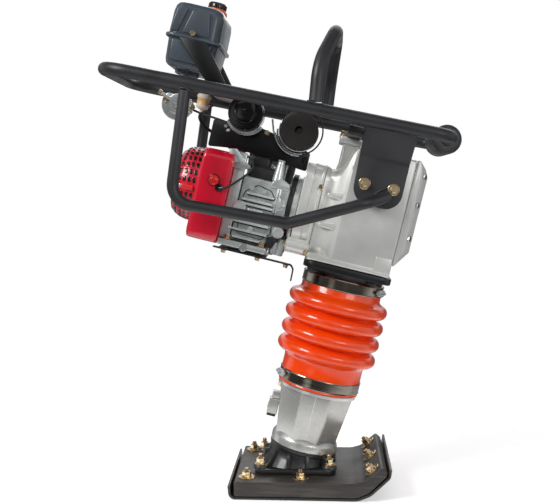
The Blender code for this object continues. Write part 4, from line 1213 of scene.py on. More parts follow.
@dataclass
class Tank:
    """Fuel tank with its skirt, cap, cradle, cock, filter and hoses."""

    middle: float = -430.0
    half_u: float = 57.0
    half_y: float = 93.6
    low: float = 826.5
    ledge: float = 889.0
    top: float = 962.0
    cap_u: float = -408.0
    filter_at: tuple = (-389.0, -20.0)
    hose: tuple = ((-389, -20, 748), (-389, -18, 735), (-378, 2, 722), (-352, 20, 710), (-320, 22, 706))
    hose_radius: float = 3.5

    def build(self) -> None:
        """Build the tank and its fittings."""
        self.shell()
        self.cap()
        self.cradle()
        self.filter()

    def level(self, half_u: float, half_y: float, height: float, corner: float) -> list[Vector]:
        """Return a rounded rectangle round the tank's middle at a height."""
        line = oblong((-half_u, -half_y), (half_u, half_y), corner)
        return [Vector((point.x + self.middle, point.y, height)) for point in line]

    def shell(self) -> None:
        """Build the moulded tank: a crowned top, a ledge at its parting line and a tapered underside."""
        u, y = self.half_u, self.half_y
        levels = [(u - 22, y - 20, self.low, 14), (u - 14, y - 11, self.low + 0.8, 18),
                  (u - 9, y - 6, self.low + 5, 20), (u - 6.5, y - 4, self.low + 14, 21),
                  (u - 4, y - 2.5, self.ledge - 8, 22), (u - 3, y - 1.5, self.ledge - 4.6, 22),
                  (u + 2.2, y + 2.2, self.ledge - 3.4, 23), (u + 3, y + 3, self.ledge - 2, 23),
                  (u + 3, y + 3, self.ledge + 2, 23), (u + 2.2, y + 2.2, self.ledge + 3.4, 23),
                  (u - 2.5, y - 1.5, self.ledge + 4.6, 22), (u - 2.5, y - 1.5, self.ledge + 8, 22),
                  (u - 3.5, y - 2, self.top - 22, 21), (u - 5.5, y - 4, self.top - 10, 21),
                  (u - 10, y - 8, self.top - 3.4, 20), (u - 16, y - 14, self.top - 0.8, 18),
                  (u - 24, y - 22, self.top, 14)]
        draft = Draft().use(POLYETHYLENE)
        draft.loft([self.level(*values) for values in levels])
        for side in (-1, 1):
            low, high = span(side, y - 6, y + 0.6)
            draft.prism([(self.middle - 24, self.ledge + 8), (self.middle + 34, self.ledge + 8),
                         (self.middle + 25, self.top - 15), (self.middle - 12, self.top - 15)], low, high,
                        bevel=2.4,
                        segments=3)
            draft.prism([(self.middle - 50, self.ledge + 8), (self.middle - 34, self.ledge + 8),
                         (self.middle - 22, self.top - 15), (self.middle - 44, self.top - 15)], low,
                        high - 0.4, bevel=2.0,
                        segments=3)
            low, high = span(side, y - 9, y - 1.2)
            draft.prism([(self.middle - 40, self.low + 12), (self.middle + 38, self.low + 12),
                         (self.middle + 42, self.ledge - 8), (self.middle - 42, self.ledge - 8)], low, high,
                        bevel=2.4,
                        segments=3)
            draft.bar((self.middle + 18, side * (y - 6), self.low + 34), 8, 12,
                      Way.RIGHT if side < 0 else Way.LEFT,
                      chamfer=2.5)
        draft.turned([(0, 818), (22, 818), (26.5, 820), (27, 824), (27, 834), (0, 834)], (-441, 0, 0),
                     steps=56)
        draft.piece("tank_shell", "upper", "tank_plastic", "fuel_tank", fold=38)

    def cap(self) -> None:
        """Build the filler cap: an orange skirt under a ribbed black knob."""
        draft = Draft().use(ORANGE_NYLON)
        base = 955.5
        draft.turned([(17, base), (23, base), (24, base + 1), (24, base + 10), (22.6, base + 14),
                      (20, base + 16), (20, base + 17.5), (0, base + 17.5)], (self.cap_u, 0, 0), steps=56)
        draft.use(BLACK_ABS)
        draft.turned([(0, base + 16), (18.4, base + 16), (19, base + 17.5), (19, base + 28),
                      (17.5, base + 30.4), (0, base + 30.8)], (self.cap_u, 0, 0), steps=56)
        for index in range(18):
            angle = 2 * math.pi * index / 18
            draft.bar((self.cap_u + 19 * math.cos(angle), 19 * math.sin(angle), base + 17), 11, 1.5, Way.UP,
                      steps=10)
        draft.piece("tank_cap", "fuel_cap", "cap_plastic", "fuel_cap")

    def cradle(self) -> None:
        """Build the steel cradle: the straps down each side, the shelf and its bolts."""
        draft = Draft().use(BLACK_PAINT_AND_SHADE)
        for side in (-1, 1):
            low, high = span(side, 97.2, 101.2)
            outline = rounded([(-458, 887), (-398, 887), (-332, 804), (-342, 795), (-376, 795), (-376, 803),
                               (-450, 877)], [4, 12, 6, 4, 3, 4, 4], closed=True, steps=5)
            draft.prism(outline, low, high, bevel=0.8)
            low, high = span(side, 97, 154)
            draft.block((-372, low, 791), (-325, high, 795), 0.9)
        draft.block((-372, -100, 791), (-325, 100, 795), 0.9)
        draft.block((-376, -100, 791), (-371.4, 100, 803), 0.9)
        draft.piece("tank_cradle", "upper", "black_steel", "tank_bracket")
        bolts = Draft().use(YELLOW_ZINC)
        for side in (-1, 1):
            way = Way.RIGHT if side < 0 else Way.LEFT
            bolts.bolt((-431, side * 96.8, 899), 10, 4.6, way, washer=6)
            bolts.bolt((-350, side * 128, 795), 13, 6, Way.UP, washer=9)
        bolts.piece("tank_bolts", "upper", "machined_steel")

    def filter(self) -> None:
        """Build the milky filter bowl with its amber paper, the pipe to it and the hose from it."""
        u, y = self.filter_at
        draft = Draft().use(MILKY_NYLON)
        draft.turned([(0, 792.6), (4.5, 792.6), (4.5, 790), (9, 789), (15, 785.5), (15.6, 784.5),
                      (15.6, 781.5), (14.8, 780.5), (14.4, 778)], (u, y, 0), steps=48)
        draft.use(AMBER_PAPER)
        draft.turned([(14.4, 778), (13.6, 777), (13.6, 765), (14.2, 764)], (u, y, 0), steps=48)
        draft.use(MILKY_NYLON)
        draft.turned([(14.2, 764), (14.4, 761), (12.6, 757), (8, 754.5), (4.5, 753.5), (3.6, 749.4),
                      (0, 749)], (u, y, 0),
                     steps=48)
        draft.piece("filter_bowl", "upper", "milky_plastic", "fuel_filter", fold=40)
        pipe = Draft().use(BLACK_RUBBER)
        pipe.tube(smooth_line([(-441, 0, 803), (-440, -4, 796.5), (-420, -14, 790), (-400, -19, 791.5),
                               (u, y, 787)], 24),
                  self.hose_radius, 16)
        pipe.piece("cock_pipe", "upper", "black_rubber")
        Draft().cord("filter_hose", "fuel_hose", self.hose, self.hose_radius, sides=16, count=24,
                     thinner=0.1)


@dataclass
class Throttle:
    """The throttle box inside the left rail, its lever and its sheathed cable."""

    middle: tuple = (-470.0, 760.0)
    radius: float = 36.6
    near: float = 120.4
    far: float = 142.0
    bolts: tuple = ((-499.0, 765.0), (-433.0, 762.0))
    sheath: tuple = ((-432, 131, 756), (-405, 130, 752), (-350, 96, 746), (-312, 66, 738), (-303, 58, 722))
    sheath_radius: float = 2.5

    def build(self) -> None:
        """Build the box, the lever and the cable."""
        u, w = self.middle
        flat = [(u + self.radius * math.cos(math.radians(angle)),
                 w + self.radius * math.sin(math.radians(angle)))
                for angle in range(-217, 38, 8)]
        draft = Draft().use(DIE_CAST)
        draft.prism(flat, self.near + 2, self.far, bevel=3.0, segments=3)
        draft.bar((u, self.near + 4, w), 4, 25, Way.RIGHT, end=22, chamfer=1.5, steps=56)
        draft.use(BLACK_PAINT_AND_SHADE).bar((u - 1, self.near + 1.4, w), 1.2, 20, Way.RIGHT, chamfer=0.4, steps=48)
        draft.use(BRIGHT_ZINC).bar((u + 1.5, self.near + 0.8, w + 1), 1.0, 15, Way.RIGHT, chamfer=0.4,
                                   steps=48)
        draft.use(BLACK_PAINT_AND_SHADE).bar((u + 1, self.near + 0.3, w), 1.0, 6, Way.RIGHT, chamfer=0.4, steps=32)
        draft.use(YELLOW_ZINC)
        for place in self.bolts:
            draft.bolt((place[0], self.near + 2, place[1]), 10, 5, Way.RIGHT, washer=6.5)
        draft.piece("throttle_box", "upper", "light_alloy", "throttle_housing", fold=38)
        lever = Draft().use(BRIGHT_ZINC)
        lever.bar((u, 119.6, 762), 6, 9, Way.RIGHT, chamfer=1.2)
        lever.tube([Vector((-430, 115.5, 748)), Vector((-472, 115.5, 763)), Vector((-511, 115.5, 777.5))],
                   3.6, 20)
        lever.use(YELLOW_ZINC).bar((-508, 116.5, 776.5), 11, 5.6, Vector((-0.93, 0, 0.36)), chamfer=2)
        lever.piece("throttle_handle", "throttle_lever", "machined_steel", "throttle_lever")
        Draft().cord("throttle_sheath", "throttle_cable", self.sheath, self.sheath_radius)


# ------------------------------------------------------------------ engine

@dataclass
class Engine:
    """Engine block, head, covers, switch, brackets, starter grip and its rope."""

    shaft_w: float = 593.8
    near: float = -80.0
    block_back: float = -285.0
    block_front: float = -158.0
    shroud_back: float = -353.0
    shroud_low: float = 483.0
    shroud_top: float = 678.0
    starter_radius: float = 81.6
    starter_back: float = -407.0
    lead: tuple = ((-301, -106, 597), (-284, -108, 607), (-250, -100, 645), (-247, -90, 668),
                   (-274, -66, 684))
    lead_radius: float = 2.3
    grip_at: tuple = (-365.0, 106.0)

    def build(self) -> None:
        """Build the engine from its block outwards."""
        self.block()
        self.fittings()
        self.head()
        self.shroud()
        self.recoil()
        self.switch()
        self.base()
        self.starter()

    def block(self) -> None:
        """Build the die-cast block: its ribbed near wall, its bosses and its foot."""
        near = self.near
        draft = Draft().use(DIE_CAST)
        draft.prism([(self.block_back, 497), (-176, 497), (-166, 512), (self.block_front, 530),
                     (self.block_front, 632),
                     (-166, 638), (self.block_back, 638)], near + 7, 70, bevel=7, segments=4)
        draft.block((self.block_back + 0.5, near - 8, 484), (-178, 80, 497.5), 3.0, 3)
        draft.block((-285, near + 1, 494), (-262, near + 14, 684), 3.0, 3)
        # The dark pieces from here to the ribs are painted shade: the shadowed top of the block, dark lines
        # beside the shroud strip and over the foot, the gap towards the clutch, the dark corner at the lower
        # front and a dark line along the seam.
        draft.use(PAINTED_SHADE_AND_GRIME).block((-253, near + 20, 630), (-186, 40, 664), 5, 3)
        draft.block((-262.5, near + 5.5, 499), (-259.5, near + 12, 636), 0.5)
        draft.block((-282, near - 3, 497), (-180, near + 12, 500), 0.5)
        draft.bar((-158.5, 0, self.shaft_w), 11, 71.6, Way.FRONT, chamfer=0.5, steps=72)
        draft.prism([(-184, 499), (-168, 500), (-158, 524), (-172, 526), (-184, 520)], near + 4, near + 12,
                    bevel=1)
        seam = rounded([(-250, near + 6.6, 515), (-250, near + 6.6, 560), (-257, near + 6.6, 575),
                        (-250, near + 6.6, 606), (-226, near + 6.6, 624), (-196, near + 6.6, 618),
                        (-186, near + 6.6, 604), (-180, near + 6.6, 560), (-178, near + 6.6, 528),
                        (-196, near + 6.6, 512)], 9, closed=True, steps=3)
        draft.bead(seam, 0.9, closed=True)
        draft.block((-174, near + 16, 487), (-144, 50, 532), 3, 2)
        for low, start, end in ((603.5, -246, -186), (589.3, -254, -186), (580, -254, -184),
                                (541, -263, -184), (523.5, -268, -184), (507, -255, -196)):
            draft.use(DIE_CAST).prism([(start, low - 2.2), (end, low - 2.2), (end, low + 2.2),
                                       (start, low + 2.2)],
                                      near - 2.5, near + 12, bevel=1.4, segments=2)
            # Under each rib lies a strip of painted shade.
            draft.use(PAINTED_SHADE_AND_GRIME).prism([(start + 2, low - 5), (end - 2, low - 5), (end - 2, low - 2),
                                         (start + 2, low - 2)],
                                        near + 5, near + 9)
        draft.use(DIE_CAST)
        draft.bar((-151, near + 18, 487), 36, 8.5, Way.UP, chamfer=2)
        draft.bar((-165, near + 14, 489), 26, 7.0, Way.UP, chamfer=2)
        for along in (-182, -177):
            draft.block((along - 1.8, near - 2, 575), (along + 1.8, near + 10, 627), 1.4)
        draft.bar((-255.5, near + 10, 570), 14, 14, Way.RIGHT, chamfer=3.5, steps=40)
        draft.bar((-174, near + 12, 594), 15, 13.2, Way.RIGHT, end=12.4, chamfer=2.5, steps=40)
        for turn in (0, 90):
            draft.block((-188, near - 5, 592), (-160, near + 6, 596), 1.4, 2,
                        Matrix.Rotation(math.radians(turn), 3, "Y"))
        draft.bar((-174, near - 2, 594), 6, 6.0, Way.RIGHT, chamfer=1.4)
        draft.bar((-162.4, near + 12, 535.4), 15, 12, Way.RIGHT, chamfer=3, steps=36)
        draft.prism([(-201, 626), (-159, 626), (-161, 640), (-180, 648), (-199, 640)], near + 2, near + 32,
                    bevel=3, segments=3)
        draft.bar((-190, near + 18, 640), 45, 12, Way.UP, end=7.2, chamfer=2, steps=36)
        draft.bar((-190, near + 18, 684), 3, 8, Way.UP, chamfer=1)
        draft.bar((self.block_front - 4, 0, self.shaft_w), 26, 70, Way.FRONT, chamfer=2, steps=72)
        draft.block((-268, near + 4, 540), (-240, near + 12, 560), 3, 3)
        draft.block((-238, near + 3, 549), (-204, near + 11, 573), 3, 3)
        for along, height in ((-238, 616), (-212, 614), (-222, 530), (-200, 556)):
            draft.bar((along, near + 10, height), 10, 5.5, Way.RIGHT, chamfer=1.5)
        draft.piece("block_casting", "upper", "light_alloy", "engine_block", fold=34)

    def fittings(self) -> None:
        """Build the black blocks of painted shade in the cavity over the block and the gap to the clutch,
        then the drain, bolts and the bracket on the block.
        """
        near = self.near
        # Two black blocks of painted shade: the cavity over the block and the gap between the block and the
        # clutch housing.
        dark = Draft().use(BLACK_PAINT_AND_SHADE)
        dark.block((-253, near + 24, 650), (-214, 10, 684), 4, 3)
        dark.block((-157, -66, 528), (-150, 60, 636), 2)
        dark.piece("painted_block_shade", "upper", "black_steel")
        bolts = Draft().use(BRIGHT_ZINC).bolt((-226.4, near - 8, 489), 11, 3, Way.RIGHT, washer=9)
        bolts.use(YELLOW_ZINC)
        for along in (-265, -190):
            bolts.bolt((along, near + 1, 497.5), 12, 8, Way.UP, washer=8.5)
        bolts.piece("block_bolts", "upper", "machined_steel")
        bracket = Draft().use(BRIGHT_ZINC)
        bracket.prism([(-302.5, 685), (-287, 688.5), (-247, 654.6), (-266, 648), (-295, 650)], near - 9,
                      near - 5, bevel=0.9)
        bracket.bolt((-284, near - 9, 668), 10, 4, Way.RIGHT, washer=7)
        bracket.piece("lead_bracket", "upper", "machined_steel")

    def head(self) -> None:
        """Build the finned head leaning to the left, the spark plug in it and the muffler."""
        tilt = Matrix.Translation(Vector((-225, 28, 640))) @ Matrix.Rotation(math.radians(-35), 4, "X")
        draft = Draft(space=RAM @ tilt).use(DIE_CAST)
        draft.turned([(0, 8), (36, 8), (36, 90), (30, 92), (0, 92)], steps=56)
        for index in range(7):
            height = 18 + 10 * index
            draft.block((-43, -43, height), (43, 43, height + 3), 1.2)
        draft.piece("finned_head", "upper", "light_alloy", "cylinder_head", fold=36)
        plug = Draft(space=RAM @ tilt).use(MILKY_NYLON)
        plug.bar((0, 0, 90), 9, 6.5, Way.UP)
        plug.use(BLACK_RUBBER).bar((0, 0, 96), 15, 9.5, Way.UP, end=8, chamfer=2)
        plug.piece("spark_plug_boot", "upper", "black_rubber")
        muffler = Draft().use(GREY_IRON)
        muffler.block((-272, 114, 590), (-166, 150, 700), 12, 5)
        for index in range(5):
            muffler.block((-256, 148.6, 610 + 16 * index), (-182, 151, 616 + 16 * index), 1.0)
        muffler.bar((-240, 78, 640), 38, 13, Way.LEFT, chamfer=1)
        muffler.piece("muffler_box", "upper", "cast_iron", "muffler")

    def shroud(self) -> None:
        """Build the pressed fan shroud: a full, rounded drum open to the recoil cover."""
        middle_y, middle_w = -4.0, (self.shroud_low + self.shroud_top) / 2
        half_y, half_w = 96.0, (self.shroud_top - self.shroud_low) / 2
        front, back = self.block_back - 0.5, self.shroud_back
        stations = ((front, 1.0), (front - 1.5, 0.0), (front - 10, 0.0), (front - 24, 0.0), (front - 44, 0.0),
                    (front - 60, 0.4), (front - 65, 1.6), (back + 1.2, 3.4), (back + 0.4, 6.0))
        rings = []
        for station, inset in stations:
            low, high = (inset - half_y, inset - half_w), (half_y - inset, half_w - inset)
            rings.append([(station, middle_y + point.x, middle_w + point.y)
                          for point in oblong(low, high, 22 - inset * 0.4, 9)])
        hole, deep, lip = ([(station, *self.facing(point, radius)) for point in rings[-1]]
                           for station, radius in ((back + 0.4, 78), (front - 2, 78), (front, 79)))
        draft = Draft().use(RED_ENAMEL).loft([lip, *rings, hole, deep], closed=True)
        draft.piece("fan_shroud", "upper", "red_paint", "engine_shroud", fold=46)

    def facing(self, point: Point, radius: float) -> tuple[float, float]:
        """Return the (y, w) place on a circle round the shaft that faces a point."""
        angle = math.atan2(point[2] - self.shaft_w, point[1])
        return radius * math.cos(angle), self.shaft_w + radius * math.sin(angle)

    def recoil(self) -> None:
        """Build the moulded recoil cover with its rows of slots and the red bar across it."""
        back, out = self.starter_back, self.starter_radius
        front = self.shroud_back - 0.4
        profile = [(out - 3, front), (out, front), (out, -370), (out - 1.0, -376), (78.4, -386), (73, -396),
                   (66, back + 2.6), (61, back), (0, back), (0, back + 3), (60, back + 3), (71, -393),
                   (out - 4, -376), (out - 4, front)]
        draft = Draft().use(RED_ENAMEL)
        draft.turned([(radius, -height) for radius, height in reversed(profile)], (0, 0, self.shaft_w),
                     Way.BACK, 80)
        draft.bar((back + 2, 0, self.shaft_w), 34, 7, Way.FRONT)
        draft.use(BLACK_ABS)
        levels = ((-361.5, 81.6, 0.0), (-372.0, 81.3, 0.06), (-383.0, 79.4, 0.3), (-394.5, 74.4, 0.75),
                  (-405.0, 64.0, 2.2))
        slant = Matrix.Rotation(math.radians(12), 3, "Z")
        for row in range(30):
            angle = math.radians(12 * row + 6)
            if row in (21, 22):
                continue
            for along, radius, fall in levels:
                place = Vector((along, radius * math.cos(angle), self.shaft_w + radius * math.sin(angle)))
                out_way = Vector((-fall, math.cos(angle), math.sin(angle))).normalized()
                around = Vector((0, -math.sin(angle), math.cos(angle)))
                turn = Matrix((around.cross(out_way), around, out_way)).transposed() @ slant
                half = Vector((6.4, radius * 0.145, 1.6)) / 2
                draft.block(place - half, place + half, 0.7, 2, turn)
        draft.use(RED_ABS)
        draft.block((-386, -out - 4.5, self.shaft_w - 14), (-359, -out + 6, self.shaft_w - 3), 3.0, 3)
        draft.use(BRIGHT_ZINC)
        draft.block((-390.5, -out - 2.5, self.shaft_w - 12.5), (-385, -out + 5, self.shaft_w - 4.5), 1.6, 2)
        draft.piece("recoil_cover", "upper", "red_paint", "starter_cover", fold=40)

    def switch(self) -> None:
        """Build the stop switch, the plug beside it and its lead up to the bracket."""
        u, w = -317.5, 613.4
        knob = Draft().use(RED_ABS)
        knob.turned([(0, 0), (11, 0), (11.2, 1), (11.2, 6), (10, 8.6), (7, 10.6), (3, 11.7), (0, 12)],
                    (u, -100.4, w), Way.RIGHT, 48)
        knob.block((u - 10, -111, w + 3), (u - 2, -103, w + 11), 2.4, 3,
                   Matrix.Rotation(math.radians(40), 3, "Y"))
        knob.piece("stop_switch", "engine_switch", "red_plastic", "engine_switch")
        base = Draft().use(BLACK_ABS)
        base.bar((-303.7, -99, 599.5), 8, 8.5, Way.RIGHT, end=7, chamfer=1.5)
        base.bar((-303.7, -103, 598.5), 12, 4, Vector((0.85, -0.3, 0.35)), end=3, chamfer=0.8)
        base.bar((u, -98.5, w), 1.7, 13.5, Way.RIGHT, chamfer=0.5, steps=40)
        base.piece("switch_plug", "upper", "black_plastic")
        Draft().cord("switch_wire", "switch_lead", self.lead, self.lead_radius)

    def base(self) -> None:
        """Build the black bracket under the engine and the bolts through it."""
        draft = Draft().use(BLACK_PAINT_AND_SHADE)
        line = rounded([(-290, 476), (-119, 476), (-113, 468), (-112, 443)], [0, 8, 8, 0], steps=5)
        draft.prism(ribbon(line, 3), -88, -70, Across.Y, bevel=0.8)
        draft.prism(ribbon([(-290, 476), (-170, 476)], 3), 62, 80, Across.Y, bevel=0.8)
        draft.block((-280, -71, 474.6), (-176, 71, 477.4), 0.8)
        draft.piece("base_strap", "upper", "black_steel", "engine_base_bracket")
        bolts = Draft().use(YELLOW_ZINC)
        for along, side in ((-267, -78), (-192.7, -78), (-130.6, -78), (-267, 71), (-192.7, 71)):
            bolts.bolt((along, side, 474.4), 9, 5, Way.DOWN, washer=6)
        bolts.piece("base_bolts", "upper", "machined_steel")

    def starter(self) -> None:
        """Build the starter grip and the rope that runs out of the cover behind it."""
        u, y = self.grip_at
        grip = Draft().use(BLACK_RUBBER)
        grip.turned([(0, 590), (5, 590), (8, 592), (8, 596), (7.2, 602), (8, 610), (7.4, 620), (8, 630),
                     (7.2, 638), (8, 645), (8, 648), (5, 650), (0, 650)], (u, y, 0), steps=36)
        grip.bar((u, 88, 620), 18, 5, Way.LEFT, chamfer=1.2)
        grip.piece("pull_grip", "starter_grip", "black_rubber", "starter_grip")
        rope = Draft().use(BRAIDED_ROPE)
        out, count = 8.0, 24
        rope.tube([Vector((u, 84 + out * step / count, 620)) for step in range(count + 1)], 2.2, 12)
        made = rope.piece("starter_rope", "", "black_rubber")
        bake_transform(made)


# ------------------------------------------------------------------ intake

@dataclass
class Intake:
    """The support plate, the two canisters on it and the carburettor."""

    plate_y: float = -12.0
    small_at: tuple = (-286.8, 765.6)
    small_radius: float = 36.8
    large_at: tuple = (-168.7, 755.2)
    large_radius: float = 40.8
    near: float = -99.8

    def build(self) -> None:
        """Build the plate, the canisters, their bands and the carburettor."""
        self.plate()
        self.ringed()
        self.disc()
        body = Draft().use(DIE_CAST)
        body.block((-319, 4, 686), (-277, 46, 726), 4, 3)
        body.bar((-298, 0, 706), 8, 15, Way.LEFT, chamfer=1.5, steps=40)
        body.bar((-298, 25, 684), 14, 11, Way.UP, chamfer=1.5)
        body.piece("carburettor_body", "upper", "light_alloy", "carburettor")

    def plate(self) -> None:
        """Build the black support plate between the canisters, with its bolts."""
        draft = Draft().use(BLACK_PAINT_AND_SHADE)
        line = rounded([(-359, 681), (-310, 688), (-261, 687), (-136.5, 676), (-136.5, 716), (-180, 732),
                        (-250, 745), (-359, 742)], 5, closed=True, steps=4)
        draft.prism(line, self.plate_y - 1.6, self.plate_y + 1.6, bevel=0.5)
        draft.piece("canister_plate", "upper", "black_steel", "support_plate")
        bolts = Draft().use(YELLOW_ZINC)
        bolts.bolt((-238.8, self.plate_y - 1.6, 738), 9, 5, Way.RIGHT, washer=6)
        bolts.use(BLACK_PAINT_AND_SHADE).bolt((-144, self.plate_y - 1.6, 700), 10, 5, Way.RIGHT, washer=7)
        bolts.piece("plate_bolts", "upper", "machined_steel")

    def ringed(self) -> None:
        """Build the glossy black canister with its turned rings and the steel band round it."""
        u, w = self.small_at
        out, near = self.small_radius, -self.near
        draft = Draft().use(BLACK_ABS)
        draft.turned([(0, near - 3), (5, near - 3), (7, near - 1), (20, near - 1), (22, near),
                      (24.6, near - 0.6), (25.4, near - 4.6), (29.6, near - 4.2), (30.4, near - 7.6),
                      (33.6, near - 7), (34.4, near - 10.4), (out - 0.8, near - 10), (out, near - 11.6),
                      (out, near - 22), (out - 0.9, near - 23), (out - 0.9, 42), (out, 41), (out, 18),
                      (out - 3, 15), (0, 15)], (u, 0, w), Way.RIGHT, 80)
        draft.piece("ringed_canister", "upper", "black_plastic", "pre_cleaner", fold=34)
        band = Draft().use(STAINLESS)
        band.turned([(out + 0.1, near - 48), (out + 0.1, near - 28), (out + 1.4, near - 28),
                     (out + 1.4, near - 48)], (u, 0, w),
                    Way.RIGHT, 72, closed=True)
        for inner, thick, near_y, far_y in ((out + 1.6, 4.0, -74, -60), (out + 1.6, 7.5, -58, -46)):
            angles = [math.radians(212 + 8 * step) for step in range(16)]
            saddle = [(u + (inner + thick) * math.cos(angle), w + (inner + thick) * math.sin(angle))
                      for angle in angles]
            saddle += [(u + inner * math.cos(angle), w + inner * math.sin(angle))
                       for angle in reversed(angles)]
            band.use(BRIGHT_ZINC).prism(saddle, near_y, far_y, bevel=0.9)
        band.bar((u - 36, -74, w - 36), 26, 3.4, Way.LEFT, chamfer=0.8)
        band.use(BRIGHT_ZINC).bolt((u - 31, -63, w - 41), 8, 5, Vector((0.5, 0, -0.86)))
        band.piece("canister_band", "upper", "stainless")

    def disc(self) -> None:
        """Build the dull filter cover with its middle hole, its clamp ring and the hose beside it."""
        u, w = self.large_at
        out, near = self.large_radius, -self.near
        draft = Draft().use(TEXTURED_COVER)
        draft.turned([(8.4, near - 1.5), (10.2, near), (33, near), (37.4, near - 0.8), (39.6, near - 2.8),
                      (out - 0.4, near - 6),
                      (out - 0.4, 12), (37, 8), (8.4, 8)], (u, 0, w), Way.RIGHT, 88, closed=True)
        draft.use(BLACK_ABS).bar((u, -near + 40, w), 3, 8.6, Way.RIGHT, chamfer=0.5)
        draft.piece("filter_canister", "upper", "filter_cover", "air_filter", fold=34)
        ring = Draft().use(BRIGHT_ZINC)

        def arc(radius: float, start: float, end: float, y: float, thick: float) -> None:
            """Draw part of a round wire about the canister's axis."""
            count = 40
            points = [Vector((u + radius * math.cos(math.radians(start + (end - start) * step / count)), y,
                              w + radius * math.sin(math.radians(start + (end - start) * step / count))))
                      for step in range(count + 1)]
            ring.tube(points, thick, 12)

        arc(out + 11.0, 196, 282, -60, 2.2)
        arc(out + 6.5, 186, 300, -52, 2.0)
        arc(out + 1.4, 160, 330, -66, 1.8)
        ring.tube([Vector((u - 62, -58, w + 12)), Vector((u - 54, -58, w - 12)),
                   Vector((u - 41, -58, w - 32))], 2.0, 12)
        ring.use(BLACK_RUBBER)
        arc(out + 9.0, -70, 52, -74, 1.7)
        ring.piece("canister_rings", "upper", "machined_steel")


# ------------------------------------------------------------------ hidden works and studio

@dataclass
class HiddenWorks:
    """The drive parts inside the castings, which keep their CAD shapes and take their real finishes."""

    finishes: dict = field(default_factory=lambda: {
        "guide_cylinder": OILED_STEEL, "slide_tube": OILED_STEEL, "lower_spring": OILED_STEEL,
        "upper_spring": OILED_STEEL, "piston_rod": OILED_STEEL, "spring_piston": OILED_STEEL,
        "crank_gear": OILED_STEEL, "connecting_rod": OILED_STEEL, "pinion_shaft": OILED_STEEL,
        "engine_shaft": OILED_STEEL, "throttle_arm": BRIGHT_ZINC, "choke_lever": BRIGHT_ZINC,
        "clutch_drum": GREY_IRON, "clutch_shoes": GREY_IRON, "flywheel": GREY_IRON,
        "starter_pulley": BLACK_ABS,
        "fuel_cock": MILKY_NYLON, "fuel_cock_lever": BLACK_ABS})

    def dress(self, nodes: dict) -> None:
        """Give each kept CAD node its material.

        Args:
            nodes: the frame's nodes by name.
        """
        for node, finish in self.finishes.items():
            for slot in nodes[node].material_slots:
                slot.material = finish.material()
            log.info("%s: %s", node, finish.name)


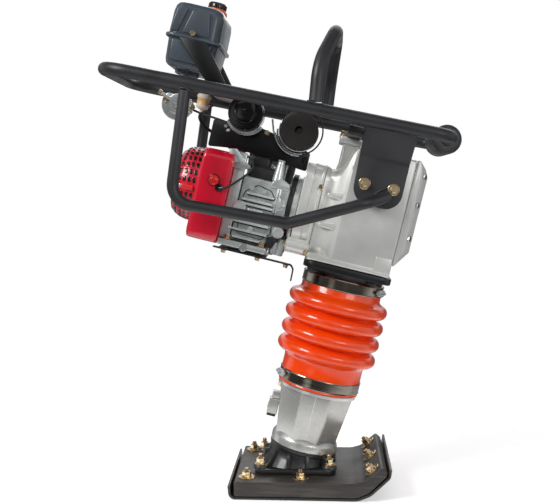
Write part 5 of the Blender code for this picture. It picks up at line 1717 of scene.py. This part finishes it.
@dataclass
class Studio:
    """The pale floor, the soft lights and the camera."""

    eye: tuple = (0.0749, -2.01407, 0.65349)
    tilt: tuple = (86.005, 0.0, 3.05)
    lens: float = 58.8
    floor_size: float = 30.0

    def build(self) -> None:
        """Build the floor, the lights and the camera."""
        self.floor()
        self.world()
        self.light("key", (-2.0, -1.7, 2.4), 1.2, 60)
        self.light("front", (1.7, -2.6, 1.2), 1.2, 12)
        self.light("rear", (0.3, 2.2, 2.4), 2.0, 26)
        camera = bpy.data.cameras.new("camera")
        camera.lens = self.lens
        camera.sensor_width = 36
        camera.clip_end = 100
        stand = bpy.data.objects.new("camera", camera)
        stand.location = self.eye
        stand.rotation_euler = [math.radians(angle) for angle in self.tilt]
        bpy.context.scene.collection.objects.link(stand)
        bpy.context.scene.camera = stand
        bpy.context.scene.view_settings.view_transform = "Standard"

    def floor(self) -> None:
        """Build the floor: matt white paper that runs out softly into the white backdrop."""
        mesh = bpy.data.meshes.new("floor")
        half = self.floor_size / 2
        mesh.from_pydata([(-half, -half, -0.0005), (half, -half, -0.0005), (half, half, -0.0005),
                          (-half, half, -0.0005)],
                         [], [(0, 1, 2, 3)])
        paper = bpy.data.materials.new("studio_paper")
        paper.use_nodes = True
        tree = paper.node_tree
        shader = tree.nodes["Principled BSDF"]
        place = add_node(tree, "TexCoord").outputs["Object"]
        fibre = add_node(tree, "TexNoise", {"Vector": place, "Scale": 3.0})
        tone = add_node(tree, "Mix", {0: fibre.outputs["Fac"], 6: linear("#f4f4f4"), 7: linear("#f8f8f8")},
                        data_type="RGBA")
        tree.links.new(tone.outputs[2], shader.inputs["Base Color"])
        shader.inputs["Roughness"].default_value = 0.9
        shader.inputs["Emission Color"].default_value = (1, 1, 1, 1)
        shader.inputs["Emission Strength"].default_value = 0.42
        reach = add_node(tree, "VectorMath", {0: place}, operation="LENGTH").outputs["Value"]
        fade = add_node(tree, "MapRange", {"Value": reach, "From Min": 0.30, "From Max": 0.95},
                        interpolation_type="SMOOTHSTEP")
        clear = add_node(tree, "BsdfTransparent")
        mixed = add_node(tree, "MixShader", {0: fade.outputs["Result"], 1: shader.outputs[0],
                                             2: clear.outputs[0]})
        tree.links.new(mixed.outputs[0], tree.nodes["Material Output"].inputs["Surface"])
        mesh.materials.append(paper)
        floor = bpy.data.objects.new("floor", mesh)
        bpy.context.scene.collection.objects.link(floor)

    def world(self) -> None:
        """Light the room evenly, with a white backdrop behind the machine."""
        sky = bpy.data.worlds.new("studio")
        bpy.context.scene.world = sky
        sky.use_nodes = True
        tree = sky.node_tree
        tree.nodes.clear()
        seen = add_node(tree, "LightPath").outputs["Is Camera Ray"]
        way = add_node(tree, "TexCoord").outputs["Generated"]
        cards = add_node(tree, "TexNoise", {"Vector": way, "Scale": 1.7, "Detail": 0.0})
        level = add_node(tree, "MapRange", {"Value": cards.outputs["Fac"], "From Min": 0.40, "From Max": 0.58,
                                            "To Min": 0.10, "To Max": 0.80})
        soft = add_node(tree, "Background", {"Color": (0.96, 0.98, 1.0, 1),
                                             "Strength": level.outputs["Result"]})
        plain = add_node(tree, "Background", {"Color": (1, 1, 1, 1), "Strength": 1.0})
        mixed = add_node(tree, "MixShader", {0: seen, 1: soft.outputs[0], 2: plain.outputs[0]})
        add_node(tree, "OutputWorld", {"Surface": mixed.outputs[0]})

    def light(self, name: str, at: Point, size: float, power: float) -> None:
        """Hang one soft light, aimed at the machine.

        Args:
            name: the light's name.
            at: where it hangs, in metres.
            size: its side.
            power: its power in watts.
        """
        lamp = bpy.data.lights.new(name, "AREA")
        lamp.size = size
        lamp.energy = power
        stand = bpy.data.objects.new(name, lamp)
        stand.location = at
        aim = Vector((0, 0, 0.5)) - Vector(at)
        stand.rotation_euler = aim.to_track_quat("-Z", "Y").to_euler()
        bpy.context.scene.collection.objects.link(stand)


def main() -> None:
    """Build the machine's looks round its frame, then the studio."""
    logging.basicConfig(level=logging.INFO, format="%(message)s")
    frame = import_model()
    Studio().build()
    Tank().build()
    Throttle().build()
    Engine().build()
    Intake().build()
    Handle().build()
    DriveCase().build()
    Bellows().build()
    Leg().build()
    FootCasting().build()
    Shoe().build()
    HiddenWorks().dress(frame["nodes"])
    log.info("sizes written")


if __name__ == "__main__":
    main()
